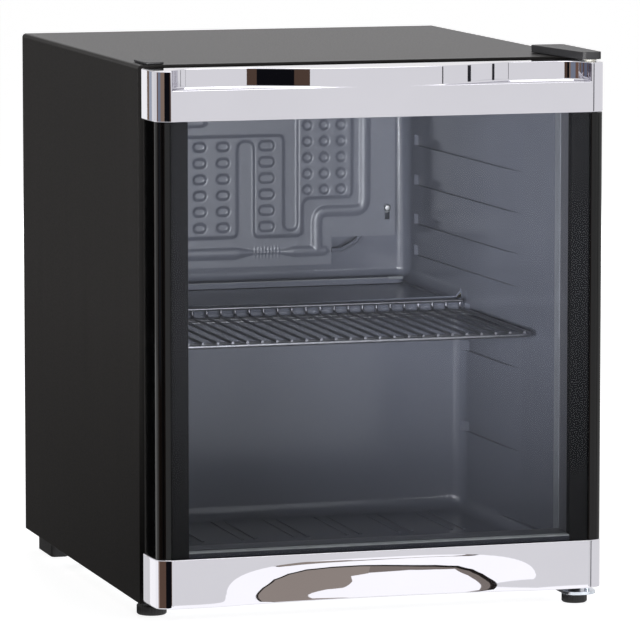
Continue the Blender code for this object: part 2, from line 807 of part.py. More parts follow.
SLIT_WIDTH = 0.0108
SLIT_BASE = PANEL_BASE + 0.0095
NECK_RIGHT = TAB_RIGHT - 0.0287
ROUND_PANEL_BASE = PLATE_LOW + 0.0382
ROUND_PANEL_RIGHT = PLATE_RIGHT - 0.0435
PIPE_X = PLATE_RIGHT - 0.0319
PIPE_SHELF = PLATE_LOW + 0.0265
PIPE_DROP_X = TAB_RIGHT - 0.0152
HEADER_Z = TAB_LOW + 0.0140
THROAT_LEFT = TAB_RIGHT - 0.0814
THROAT_RIGHT = TAB_RIGHT - 0.0535
OVAL_MARGIN = 0.0120
OVAL_SIDE_MARGIN = 0.0166
FAR_OVAL_X = FINGER_RIGHT + 0.0144
ROUND_LEFT = NECK_RIGHT + 0.0033
ROUND_BASE = ROUND_PANEL_BASE + 0.0102
ROUND_TOP_MARGIN = 0.0064
SCREW_X = PLATE_RIGHT - 0.0081
SCREW_Z = PLATE_LOW + 0.0279
COMB_LEFT = -PLATE_RIGHT + 0.0300
HEADER_RIGHT = FINGER_RIGHT - 0.0453


def build_evaporator():
    outline = [
        (-PLATE_RIGHT, TAB_LOW),
        (TAB_RIGHT, TAB_LOW),
        (TAB_RIGHT, PLATE_LOW),
        (PLATE_RIGHT, PLATE_LOW),
        (PLATE_RIGHT, PLATE_TOP),
        (-PLATE_RIGHT, PLATE_TOP),
    ]
    radius = SCREW_RADIUS + SEAT_GAP
    keyholes = [
        rounded(rectangle(x - radius, SCREW_Z - 3 * SCREW_HEAD, x + radius, SCREW_Z + radius), KEYHOLE_ROUND)
        for x in (-SCREW_X, SCREW_X)
    ]
    plate = prism("evaporator_plate", [outline, *keyholes], PLATE_FRONT, PLATE_REAR, "Y")
    comb = rounded([
        (COMB_LEFT, COMB_TOP),
        (COMB_LEFT, PANEL_BASE),
        (FINGER_RIGHT - FINGER_WIDTH, PANEL_BASE),
        (FINGER_RIGHT - FINGER_WIDTH, FINGER_ROOT),
        (FINGER_RIGHT, FINGER_ROOT),
        (FINGER_RIGHT, PANEL_BASE),
        (NECK_RIGHT, PANEL_BASE),
        (NECK_RIGHT, ROUND_PANEL_BASE),
        (ROUND_PANEL_RIGHT, ROUND_PANEL_BASE),
        (ROUND_PANEL_RIGHT, PANEL_TOP),
        (SLIT_LEFT + SLIT_WIDTH, PANEL_TOP),
        (SLIT_LEFT + SLIT_WIDTH, SLIT_BASE),
        (SLIT_LEFT, SLIT_BASE),
        (SLIT_LEFT, COMB_TOP),
    ], CORNER_ROUND)
    header = rounded(rectangle(COMB_LEFT, COMB_TOP + COMB_GAP, HEADER_RIGHT, PANEL_TOP), CORNER_ROUND)
    near = PLATE_FRONT - INFLATION
    far = PLATE_REAR + INFLATION
    panels = [
        prism("panel_comb", [comb], near, far, "Y", CUTTERS, PANEL_EDGE),
        prism("panel_header", [header], near, far, "Y", CUTTERS, PANEL_EDGE),
    ]
    join(plate, gather("inflated_panels", panels))
    join(plate, flattened(evaporator_drop()), flattened(evaporator_header()))
    cut(plate, gather("bonded_dimples", dimple_cutters()))
    weld(plate)
    paint(plate, (0.30, 0.31, 0.34), 0.38, 0.6)


def flattened(item):
    # Squeezes a round channel towards the middle of the plate.
    middle = place_y(PLATE_MIDDLE)
    for vert in item.data.vertices:
        vert.co.y = middle + (vert.co.y - middle) * PIPE_FLATNESS
    return item


def evaporator_drop():
    corners = [
        (PIPE_X, PLATE_MIDDLE, PANEL_TOP),
        (PIPE_X, PLATE_MIDDLE, PIPE_SHELF),
        (PIPE_DROP_X, PLATE_MIDDLE, PIPE_SHELF),
        (PIPE_DROP_X, PLATE_MIDDLE, HEADER_Z - PIPE_RADIUS / 3),
    ]
    return tube("channel_drop", bent_path(corners, 2 * PIPE_RADIUS), PIPE_RADIUS, CUTTERS)


def evaporator_header():
    taper = 0.0150
    stations = [
        (COMB_LEFT, 1.15),
        (THROAT_LEFT - taper, 1.15),
        (THROAT_LEFT, 0.40),
        (THROAT_RIGHT, 0.40),
        (THROAT_RIGHT + taper, 1.05),
        (TAB_RIGHT - SEAT_GAP, 0.75),
    ]
    points = [(x, PLATE_MIDDLE, HEADER_Z) for x, width in stations]
    widths = [width for x, width in stations]
    return tube("channel_header", points, PIPE_RADIUS, CUTTERS, widths=widths)


def dimple(name, x, z, width, height):
    outline = rectangle(x - width / 2, z - height / 2, x + width / 2, z + height / 2)
    near = PLATE_FRONT - 2 * INFLATION
    return prism(name, [rounded(outline, height / 2, 1)], near, PLATE_FRONT, "Y", CUTTERS)


def places_between(start, end, pitch):
    # As many places as fit from start towards end, a pitch apart.
    fit = math.floor((abs(end - start) + SLIVER) / pitch)
    return [start + math.copysign(pitch, end - start) * place for place in range(fit + 1)]


def dimple_cutters():
    finger_left = FINGER_RIGHT - FINGER_WIDTH
    columns = places_between(finger_left - OVAL_SIDE_MARGIN, COMB_LEFT + OVAL_SIDE_MARGIN, OVAL_SPACING)
    rows = places_between(COMB_TOP - OVAL_MARGIN, PANEL_BASE + OVAL_MARGIN, DIMPLE_PITCH)
    dimples = []
    for x in columns + [FAR_OVAL_X]:
        for z in rows:
            dimples.append(dimple(f"oval_{len(dimples)}", x, z, OVAL_LENGTH, OVAL_HEIGHT))
    for column in range(ROUND_COLUMNS):
        x = ROUND_LEFT + column * ROUND_SPACING
        for z in places_between(ROUND_BASE, PANEL_TOP - ROUND_TOP_MARGIN, DIMPLE_PITCH):
            dimples.append(dimple(f"round_{len(dimples)}", x, z, ROUND_DIMPLE, ROUND_DIMPLE))
    return dimples


def build_evaporator_fixings():
    head_crown = 0.0024
    for name, side in (("left", -1), ("right", 1)):
        face = PLATE_FRONT - SEAT_GAP
        profile = [
            (0, face - head_crown),
            (SCREW_HEAD * 0.7, face - head_crown * 0.75),
            (SCREW_HEAD, face),
            (SCREW_RADIUS, face),
            (SCREW_RADIUS, PLATE_REAR + PLATE_STANDOFF / 3),
            (0, PLATE_REAR + PLATE_STANDOFF / 3),
        ]
        profile = [(radius, PLATE_FRONT - depth) for radius, depth in profile]
        screw = turned(f"evaporator_screw_{name}", profile, (side * SCREW_X, PLATE_FRONT, SCREW_Z), "Y", 12)
        screw.rotation_euler = (math.pi / 2, 0, 0)
        paint(screw, ZINC, 0.3, 1.0)
        bore = SCREW_RADIUS + SEAT_GAP
        near = PLATE_STANDOFF - SEAT_GAP
        ring = [(SPACER_RADIUS, near), (SPACER_RADIUS, SEAT_GAP), (bore, SEAT_GAP), (bore, near)]
        spacer = turned(
            f"evaporator_spacer_{name}", ring, (side * SCREW_X, PLATE_REAR, SCREW_Z), "Y", 12, ring=True
        )
        paint(spacer, GREY_PLASTIC, 0.5)


def build_capillary():
    start = TAB_RIGHT + SEAT_GAP
    behind = PLATE_REAR + INFLATION + 2 * CAPILLARY_RADIUS
    end = start + CAPILLARY_REACH
    end_z = PLATE_LOW + CAPILLARY_RISE
    corners = [
        (start, PLATE_MIDDLE, HEADER_Z),
        (start + CAPILLARY_REACH / 4, PLATE_MIDDLE, HEADER_Z),
        (end - CAPILLARY_REACH / 3, PLATE_MIDDLE + CAPILLARY_RADIUS, PLATE_LOW - 2 * CAPILLARY_RADIUS),
        (end, behind, end_z),
        (end, CAVITY_REAR - SEAT_GAP, end_z),
    ]
    path = bent_path(corners, 4 * CAPILLARY_RADIUS)
    paint(tube("capillary_tube", path, CAPILLARY_RADIUS), COPPER, 0.35, 1.0)


def build_gutter():
    rear = CAVITY_REAR - COVE - SEAT_GAP
    front = rear - GUTTER_DEPTH
    half = slab_half(CAVITY_REAR) - COVE
    low = STEP_TOP + SEAT_GAP
    outline = rounded(rectangle(-half, front, half, rear), GUTTER_DEPTH / 2)
    gutter = prism("drip_gutter", [outline], low, low + GUTTER_HEIGHT)
    trough = rounded(
        rectangle(-half + GUTTER_WALL, front + GUTTER_WALL, half - GUTTER_WALL, rear - GUTTER_WALL),
        GUTTER_DEPTH / 2 - GUTTER_WALL,
    )
    brim = low + GUTTER_HEIGHT + OVERCUT
    cut(gutter, prism("gutter_trough", [trough], low + GUTTER_WALL, brim, group=CUTTERS))
    paint(gutter, GREY_PLASTIC, 0.25)


SHELF_REAR = STEP_FRONT - LOWER_SLOT_STOP - SHELF_REAR_GAP - SHELF_WIRE
SHELF_FRONT = SHELF_REAR - SHELF_DEPTH
SHELF_HALF = wall_half(SHELF_REAR) - SHELF_SIDE_GAP - SHELF_WIRE
SHELF_Z = FLOOR + SHELF_LEVEL + SEAT_GAP + SHELF_WIRE


def build_shelf():
    loop = rounded(rectangle(-SHELF_HALF, SHELF_FRONT, SHELF_HALF, SHELF_REAR), SHELF_CORNER)
    shelf = tube("wire_shelf", [(x, depth, SHELF_Z) for x, depth in loop], SHELF_WIRE, closed=True)
    crosses = []
    for index in range(SHELF_CROSSES):
        depth = SHELF_FRONT + SHELF_DEPTH * (index + 1) / (SHELF_CROSSES + 1)
        ends = [(-SHELF_HALF, depth, SHELF_Z), (SHELF_HALF, depth, SHELF_Z)]
        crosses.append(tube(f"shelf_cross_{index}", ends, SHELF_CROSS, CUTTERS))
    rib_z = SHELF_Z + SHELF_WIRE + SHELF_RIB - SHELF_WELD
    lip_z = rib_z + SHELF_LIP_RISE
    rib_half = SHELF_HALF - RIB_INSET
    ribs = []
    for index in range(SHELF_RIBS):
        x = -rib_half + 2 * rib_half * index / (SHELF_RIBS - 1)
        corners = [
            (x, SHELF_FRONT - SHELF_WIRE / 2, rib_z),
            (x, SHELF_REAR, rib_z),
            (x, SHELF_REAR, lip_z),
        ]
        ribs.append(tube(f"shelf_rib_{index}", bent_path(corners, 3 * SHELF_RIB, 2), SHELF_RIB, CUTTERS))
    lip_depth = SHELF_REAR - SHELF_CROSS - SHELF_RIB + SHELF_WELD
    lip_ends = [(-rib_half - SHELF_RIB, lip_depth, lip_z), (rib_half + SHELF_RIB, lip_depth, lip_z)]
    lip = tube("shelf_lip", lip_ends, SHELF_CROSS, CUTTERS)
    join(shelf, gather("shelf_crosses", crosses), gather("shelf_ribs", ribs), lip)
    paint(shelf, CHROME, 0.2, 1.0)
    return shelf


def rail_outline(half):
    corners = rounded(rectangle(-half, 0, half, DOOR_DEPTH), RAIL_CORNER, 6)
    front = [point for point in corners if point[1] < DOOR_DEPTH / 2]
    return front + [(half, DOOR_DEPTH), (-half, DOOR_DEPTH)]


def cut_rail_seats(rail, name, seat, face, direction):
    # Seats for the glazing and the inner frame, open towards the middle of the door.
    glazing = sorted((face - direction * OVERCUT, face + direction * (PANE_BITE + SEAT_GAP)))
    pane = box(
        name + "_glazing_seat",
        (-PANE_HALF - SEAT_GAP, PANE_SETBACK - SEAT_GAP, glazing[0]),
        (PANE_HALF + SEAT_GAP, FRAME_FRONT, glazing[1]),
        CUTTERS,
    )
    room = sorted((face - direction * OVERCUT, seat))
    frame = box(
        name + "_frame_seat",
        (-FRAME_HALF - SEAT_GAP, FRAME_FRONT - SEAT_GAP, room[0]),
        (FRAME_HALF + SEAT_GAP, DOOR_DEPTH + OVERCUT, room[1]),
        CUTTERS,
    )
    cut(rail, pane, frame)
    return pane, frame


def recess_outline():
    # Two finger pockets in plan: flush in the middle, an easy wave back to a flat wall, then a round end.
    end = RAIL_HALF - RAIL_CORNER - RECESS_END
    wave_steps = 10
    end_steps = 6
    side = []
    for step in range(wave_steps + 1):
        share = step / wave_steps
        lean = (1 - math.cos(math.pi * share)) / 2
        x = RECESS_CREST + (RECESS_FLAT - RECESS_CREST) * share
        side.append((x, lean * (RECESS_DEPTH + RECESS_PROUD) - RECESS_PROUD))
    for step in range(end_steps + 1):
        angle = math.pi / 2 * step / end_steps
        x = end + RECESS_END * math.sin(angle)
        side.append((x, RECESS_DEPTH - RECESS_END * (1 - math.cos(angle))))
    side.append((end + RECESS_END, -OVERCUT))
    return side + [(-x, depth) for x, depth in reversed(side)]


def build_top_rail():
    rail = prism("door_top_rail", [rail_outline(RAIL_HALF)], TOP_RAIL_BASE, DOOR_TOP, round_angle=30)
    recess = prism(
        "top_rail_recess", [recess_outline()], DOOR_TOP - RECESS_HEIGHT, DOOR_TOP + OVERCUT, group=CUTTERS
    )
    hole_base = DOOR_TOP - PIN_LENGTH - 2 * SEAT_GAP
    hole = cylinder(
        "top_bush_hole", BUSH_RADIUS + SEAT_GAP, hole_base, DOOR_TOP + OVERCUT, HINGE_X, HINGE_DEPTH, CUTTERS
    )
    cut(rail, recess, hole)
    seats = cut_rail_seats(rail, "top", FRAME_TOP + SEAT_GAP, TOP_RAIL_BASE, 1)
    paint(rail, CHROME, 0.06, 1.0)
    return rail, recess, hole, *seats


def scoop_cutter():
    # A squared ellipsoid whose middle stands in front of the rail, so that it meets the face at a low angle.
    offset = SCOOP_BULGE - SCOOP_DEPTH
    rim = math.sqrt(1 - (offset / SCOOP_BULGE) ** 2)
    power = SCOOP_SQUARENESS
    shape = bmesh.new()
    bmesh.ops.create_uvsphere(shape, u_segments=28, v_segments=14, radius=1)
    for vert in shape.verts:
        across, up, out = vert.co
        reach = math.hypot(across, up)
        if reach > MERGE:
            spread = (abs(across / reach) ** power + abs(up / reach) ** power) ** (-1 / power)
            across *= spread * SCOOP_HALF / rim
            up *= spread * SCOOP_HEIGHT / rim
        vert.co = (across, out * SCOOP_BULGE - offset, up)
    mesh = finish_mesh(shape, "bottom_rail_scoop")
    return add_object("bottom_rail_scoop", mesh, CUTTERS, (0, 0, DOOR_BOTTOM))


def build_bottom_rail():
    rail = prism(
        "door_bottom_rail", [rail_outline(RAIL_HALF)], DOOR_BOTTOM, BOTTOM_RAIL_CREST, round_angle=30
    )
    scoop = scoop_cutter()
    hole_base = DOOR_BOTTOM - OVERCUT
    hole_top = DOOR_BOTTOM + PIN_LENGTH + 2 * SEAT_GAP
    hole = cylinder(
        "bottom_bush_hole", BUSH_RADIUS + SEAT_GAP, hole_base, hole_top, HINGE_X, HINGE_DEPTH, CUTTERS
    )
    cut(rail, scoop, hole)
    seats = cut_rail_seats(rail, "bottom", FRAME_LOW - SEAT_GAP, BOTTOM_RAIL_CREST, -1)
    paint(rail, CHROME, 0.06, 1.0)
    return rail, scoop, hole, *seats


def build_stiles():
    stiles = []
    corner = RAIL_CORNER - STILE_INSET
    shape = rounded(rectangle(STILE_INNER, STILE_SETBACK, STILE_HALF, DOOR_DEPTH), corner, 5)
    arc = [point for point in shape if point[0] > STILE_HALF - 1.01 * corner and point[1] < DOOR_DEPTH / 2]
    section = [(STILE_INNER, STILE_SETBACK)] + arc + [(STILE_HALF, DOOR_DEPTH), (STILE_INNER, DOOR_DEPTH)]
    low = BOTTOM_RAIL_CREST + SEAT_GAP
    for name, side in (("door_stile_left", -1), ("door_stile_right", 1)):
        outline = [(side * x, depth) for x, depth in section]
        stile = prism(name, [outline], low, TOP_RAIL_BASE - SEAT_GAP, round_angle=30)
        paint(stile, BLACK_PLASTIC, 0.08)
        stiles.append(stile)
    return stiles


def build_glazing():
    low = BOTTOM_RAIL_CREST - PANE_BITE
    high = TOP_RAIL_BASE + PANE_BITE
    panes = []
    for name, front in (("glass_outer", PANE_SETBACK), ("glass_inner", INNER_PANE_FRONT)):
        pane = box(name, (-PANE_HALF, front, low), (PANE_HALF, front + PANE, high))
        paint(pane, (0.75, 0.78, 0.80), 0.02, clear=1.0)
        panes.append(pane)
    inner = PANE_HALF - BORDER_WIDTH
    hole = rectangle(-inner, BOTTOM_RAIL_CREST - SEAT_GAP, inner, TOP_RAIL_BASE + SEAT_GAP)
    spacer = prism(
        "glass_spacer",
        [rectangle(-PANE_HALF, low, PANE_HALF, high), hole],
        SPACER_FRONT,
        SPACER_FRONT + SPACER_DEPTH,
        "Y",
    )
    paint(spacer, BLACK_PLASTIC, 0.4)
    return panes + [spacer]


def dart_ring(half_width, depth):
    # The ring that ties gasket and frame, centred on the gasket's width.
    outlines = []
    for reach in (GASKET_WIDTH / 2 + half_width, GASKET_WIDTH / 2 - half_width):
        half = GASKET_INNER + reach
        outlines.append(rectangle(-half, GASKET_LOW - reach, half, GASKET_HIGH + reach))
    return outlines, DOOR_DEPTH - depth


def build_frame_and_gasket():
    hole = rectangle(-FRAME_INNER, BOTTOM_RAIL_CREST, FRAME_INNER, TOP_RAIL_BASE)
    edge = rectangle(-FRAME_HALF, FRAME_LOW, FRAME_HALF, FRAME_TOP)
    frame = prism("door_inner_frame", [edge, hole], FRAME_FRONT, DOOR_DEPTH, "Y")
    groove, groove_front = dart_ring(DART_WIDTH / 2 + SEAT_GAP, DART_DEPTH + 2 * SEAT_GAP)
    groove_cutter = prism("gasket_groove", groove, groove_front, DOOR_DEPTH + OVERCUT, "Y", CUTTERS)
    cut(frame, groove_cutter)
    paint(frame, BLACK_PLASTIC, 0.45)
    outer = rectangle(
        -GASKET_HALF, GASKET_LOW - GASKET_WIDTH, GASKET_HALF, GASKET_HIGH + GASKET_WIDTH
    )
    inner = rectangle(-GASKET_INNER, GASKET_LOW, GASKET_INNER, GASKET_HIGH)
    front = DOOR_DEPTH + SEAT_GAP
    gasket = prism("door_gasket", [outer, inner], front, CABINET_FRONT - SEAT_GAP, "Y", edge=GASKET_ROUND)
    dart, dart_front = dart_ring(DART_WIDTH / 2, DART_DEPTH)
    dart_tool = prism("gasket_dart", dart, dart_front, front + DART_ROOT, "Y", CUTTERS)
    join(gasket, dart_tool)
    paint(gasket, (0.06, 0.06, 0.065), 0.55)
    return frame, groove_cutter, gasket, dart_tool


def build_bushes():
    bore = PIN_RADIUS + SEAT_GAP
    bushes = []
    for name, face, up in (("door_bush_top", DOOR_TOP, 1), ("door_bush_bottom", DOOR_BOTTOM, -1)):
        seat = up * SEAT_GAP
        ring = [
            (bore, up * BUSH_FLANGE_THICKNESS + seat),
            (BUSH_FLANGE, up * BUSH_FLANGE_THICKNESS + seat),
            (BUSH_FLANGE, seat),
            (BUSH_RADIUS, seat),
            (BUSH_RADIUS, -up * PIN_LENGTH),
            (bore, -up * PIN_LENGTH),
        ]
        bush = turned(name, ring, (HINGE_X, HINGE_DEPTH, face), steps=14, ring=True)
        paint(bush, (0.55, 0.55, 0.52), 0.5)
        bushes.append(bush)
    return bushes


PLATE_BASE = CABINET_TOP + SEAT_GAP
PLATE_CREST = PLATE_BASE + HINGE_PLATE
HINGE_OUTER = CABINET_HALF - HINGE_EDGE
NOSE_DEPTH = HINGE_DEPTH - HINGE_NOSE


def hinge_taper(margin):
    # A tapered plan, narrow over the door and wide over the cabinet, widened all round by a margin.
    rear = NOSE_DEPTH + HINGE_PLATE_LENGTH
    return [
        (HINGE_OUTER - HINGE_NOSE_WIDTH - margin, NOSE_DEPTH - margin),
        (HINGE_OUTER + margin, NOSE_DEPTH - margin),
        (HINGE_OUTER + margin, rear + margin),
        (HINGE_OUTER - HINGE_PLATE_WIDTH - margin, rear + margin),
    ]


def hinge_screw_depths():
    first = CABINET_FRONT + HINGE_SCREW_SETBACK
    return {"front": first, "rear": first + HINGE_SCREW_PITCH}


def build_top_hinge():
    plate = prism("top_hinge", [rounded(hinge_taper(0.0), HINGE_NOSE / 2)], PLATE_BASE, PLATE_CREST)
    pin = cylinder(
        "top_pin", PIN_RADIUS, DOOR_TOP - PIN_LENGTH + SEAT_GAP, PLATE_BASE + HINGE_PLATE / 2,
        HINGE_X, HINGE_DEPTH, CUTTERS,
    )
    join(plate, pin)
    for name, depth in hinge_screw_depths().items():
        x = HINGE_OUTER - HINGE_NOSE_WIDTH / 2
        cut(plate, cylinder(
            f"top_screw_hole_{name}", HINGE_SCREW_SHANK + SEAT_GAP, PLATE_BASE - OVERCUT,
            PLATE_CREST + OVERCUT, x, depth, CUTTERS, 12,
        ))
        head = PLATE_CREST + SEAT_GAP
        profile = [
            (0, head + HINGE_SCREW_CROWN),
            (HINGE_SCREW_HEAD * 0.7, head + HINGE_SCREW_CROWN),
            (HINGE_SCREW_HEAD, head),
            (HINGE_SCREW_SHANK, head),
            (HINGE_SCREW_SHANK, PLATE_BASE + SEAT_GAP),
            (0, PLATE_BASE + SEAT_GAP),
        ]
        paint(turned(f"hinge_screw_{name}", profile, (x, depth, 0), steps=12), ZINC, 0.3, 1.0)
    paint(plate, ZINC, 0.35, 1.0)


def build_hinge_cover():
    inner = HINGE_COVER_ROOM
    outer = min(HINGE_COVER_ROOM + HINGE_COVER_WALL, HINGE_EDGE - SEAT_GAP)
    crest = PLATE_BASE + HINGE_COVER_HEIGHT
    cover = prism(
        "hinge_cover", [rounded(hinge_taper(outer), HINGE_NOSE / 2)], PLATE_BASE, crest,
    )
    room = prism(
        "hinge_cover_room", [rounded(hinge_taper(inner), HINGE_NOSE / 2)],
        PLATE_BASE - OVERCUT, crest - HINGE_COVER_WALL, group=CUTTERS,
    )
    cut(cover, room)
    paint(cover, BLACK_PLASTIC, 0.4)


def build_hinge_blank():
    left = -CABINET_HALF + BLANK_EDGE
    front = CABINET_FRONT + SEAT_GAP
    outline = rounded(rectangle(left, front, left + BLANK_WIDTH, front + BLANK_LENGTH), BLANK_WIDTH / 4)
    blank = prism("hinge_blank", [outline], PLATE_BASE, PLATE_BASE + BLANK_THICKNESS)
    paint(blank, BLACK_PLASTIC, 0.4)


BRACKET_TOP = FOOT_HEIGHT - SEAT_GAP
BRACKET_BASE = BRACKET_TOP - HINGE_PLATE
RIGHT_FOOT_X = HINGE_X - RIGHT_FOOT_INSET
RIGHT_FOOT_DEPTH = HINGE_DEPTH + RIGHT_FOOT_SETBACK


def build_bottom_hinge():
    right = CABINET_HALF - SEAT_GAP
    front = HINGE_DEPTH - BRACKET_NOSE
    outline = rounded(rectangle(right - BRACKET_WIDTH, front, right, front + BRACKET_LENGTH), BRACKET_NOSE)
    bracket = prism("bottom_hinge", [outline], BRACKET_BASE, BRACKET_TOP)
    pin = cylinder(
        "bottom_pin", PIN_RADIUS, BRACKET_TOP - HINGE_PLATE / 2, DOOR_BOTTOM + PIN_LENGTH - SEAT_GAP,
        HINGE_X, HINGE_DEPTH, CUTTERS,
    )
    hole = cylinder(
        "stud_hole", STUD_RADIUS + SEAT_GAP, BRACKET_BASE - OVERCUT, BRACKET_TOP + OVERCUT,
        RIGHT_FOOT_X, RIGHT_FOOT_DEPTH, CUTTERS,
    )
    join(bracket, pin)
    cut(bracket, hole)
    for name, depth in hinge_screw_depths().items():
        x = right - BRACKET_WIDTH / 2
        cut(bracket, cylinder(
            f"bracket_screw_hole_{name}", HINGE_SCREW_SHANK + SEAT_GAP, BRACKET_BASE - OVERCUT,
            BRACKET_TOP + OVERCUT, x, depth, CUTTERS, 12,
        ))
        head = BRACKET_BASE - SEAT_GAP
        profile = [
            (0, BRACKET_TOP - SEAT_GAP),
            (HINGE_SCREW_SHANK, BRACKET_TOP - SEAT_GAP),
            (HINGE_SCREW_SHANK, head),
            (HINGE_SCREW_HEAD, head),
            (HINGE_SCREW_HEAD * 0.7, head - HINGE_SCREW_CROWN),
            (0, head - HINGE_SCREW_CROWN),
        ]
        paint(turned(f"bracket_screw_{name}", profile, (x, depth, 0), steps=12), ZINC, 0.3, 1.0)
    paint(bracket, ZINC, 0.3, 1.0)


def screw_foot(name, radius, x, depth, stud_top):
    rim = 0.0015
    profile = [
        (0, stud_top),
        (STUD_RADIUS, stud_top),
        (STUD_RADIUS, FOOT_HEAD),
        (radius * 0.8, FOOT_HEAD),
        (radius, FOOT_HEAD - 2 * rim),
        (radius, rim),
        (radius - rim, 0),
        (0, 0),
    ]
    foot = turned(name, profile, (x, depth, 0), steps=20)
    paint(foot, RUBBER, 0.5)


def build_feet():
    screw_foot(
        "front_foot_left", LEFT_FOOT_RADIUS, -CABINET_HALF + LEFT_FOOT_RADIUS + 5 * SEAT_GAP,
        CABINET_FRONT + LEFT_FOOT_SETBACK, FOOT_HEIGHT - SEAT_GAP,
    )
    screw_foot("front_foot_right", RIGHT_FOOT_RADIUS, RIGHT_FOOT_X, RIGHT_FOOT_DEPTH, BRACKET_TOP - SEAT_GAP)
    rear = OVERALL_DEPTH - REAR_FOOT_FROM_BACK
    for name, side in (("rear_foot_left", -1), ("rear_foot_right", 1)):
        outer = side * (CABINET_HALF - 2 * STEEL)
        inner = outer - side * REAR_FOOT_WIDTH
        left, right = sorted((outer, inner))
        outline = rounded(rectangle(left, rear - REAR_FOOT_LENGTH, right, rear), REAR_FOOT_WIDTH / 4)
        paint(prism(name, [outline], 0, FOOT_HEIGHT - SEAT_GAP), RUBBER, 0.6)


CROSSBAR_REAR = OVERALL_DEPTH - CROSSBAR_FROM_BACK
CROSSBAR_FRONT = CROSSBAR_REAR - CROSSBAR_DEPTH


def build_crossbar():
    half = FOAM_HALF
    bar = box(
        "crossbar",
        (-half, CROSSBAR_FRONT, FOOT_HEIGHT),
        (half, CROSSBAR_REAR, FOOT_HEIGHT + CROSSBAR_FLANGE),
    )
    cut(bar, box(
        "crossbar_room",
        (-half - OVERCUT, CROSSBAR_FRONT + CROSSBAR_PLATE, CROSSBAR_TOP),
        (half + OVERCUT, CROSSBAR_REAR - CROSSBAR_PLATE, CROSSBAR_TOP + OVERCUT),
        CUTTERS,
    ))
    paint(bar, ZINC, 0.4, 1.0)


def build_compressor():
    radius = COMPRESSOR_RADIUS
    height = COMPRESSOR_HEIGHT
    seam = height * 0.5
    profile = [
        (0, height),
        (radius * 0.55, height * 0.985),
        (radius * 0.85, height * 0.92),
        (radius * 0.98, height * 0.80),
        (radius, seam + WELD_RIM_HEIGHT),
        (radius + WELD_RIM, seam + WELD_RIM_HEIGHT),
        (radius + WELD_RIM, seam),
        (radius, seam),
        (radius * 0.97, height * 0.22),
        (radius * 0.80, height * 0.06),
        (radius * 0.45, -COMPRESSOR_FOOT / 2),
        (0, -COMPRESSOR_FOOT),
    ]
    place = (COMPRESSOR_X, COMPRESSOR_DEPTH, FOOT_PLATE_BASE + COMPRESSOR_FOOT)
    can = turned("compressor", profile, place, steps=24)
    reach_x = GROMMET_SPREAD_X + FOOT_PLATE_MARGIN
    reach_y = GROMMET_SPREAD_Y + FOOT_PLATE_MARGIN
    left = COMPRESSOR_X - reach_x
    front = COMPRESSOR_DEPTH - reach_y
    outline = rectangle(left, front, left + 2 * reach_x, front + 2 * reach_y)
    join(can, prism(
        "compressor_foot_plate", [rounded(outline, FOOT_PLATE_MARGIN)], FOOT_PLATE_BASE,
        FOOT_PLATE_BASE + COMPRESSOR_FOOT, group=CUTTERS,
    ))
    paint(can, BLACK_PLASTIC, 0.4)
    low = CROSSBAR_TOP + SEAT_GAP
    count = 0
    for side_x in (-1, 1):
        for side_y in (-1, 1):
            count += 1
            profile = [
                (0, GROMMET_HEIGHT),
                (GROMMET_RADIUS, GROMMET_HEIGHT),
                (GROMMET_RADIUS, GROMMET_HEIGHT * 0.65),
                (GROMMET_WAIST, GROMMET_HEIGHT * 0.5),
                (GROMMET_RADIUS, GROMMET_HEIGHT * 0.35),
                (GROMMET_RADIUS, 0),
                (0, 0),
            ]
            x = COMPRESSOR_X + side_x * GROMMET_SPREAD_X
            depth = COMPRESSOR_DEPTH + side_y * GROMMET_SPREAD_Y
            paint(turned(f"grommet_{count}", profile, (x, depth, low), steps=12), RUBBER, 0.7)


def build_relay():
    left = COMPRESSOR_X + COMPRESSOR_RADIUS + WELD_RIM + SEAT_GAP
    base = FOOT_PLATE_BASE + RELAY_LEVEL
    cover = box(
        "relay_cover",
        (left, COMPRESSOR_DEPTH - RELAY_SIZE[1] / 2, base),
        (left + RELAY_SIZE[0], COMPRESSOR_DEPTH + RELAY_SIZE[1] / 2, base + RELAY_SIZE[2]),
    )
    round_edges(cover, RELAY_SIZE[0] / 8, 2)
    paint(cover, BLACK_PLASTIC, 0.5)


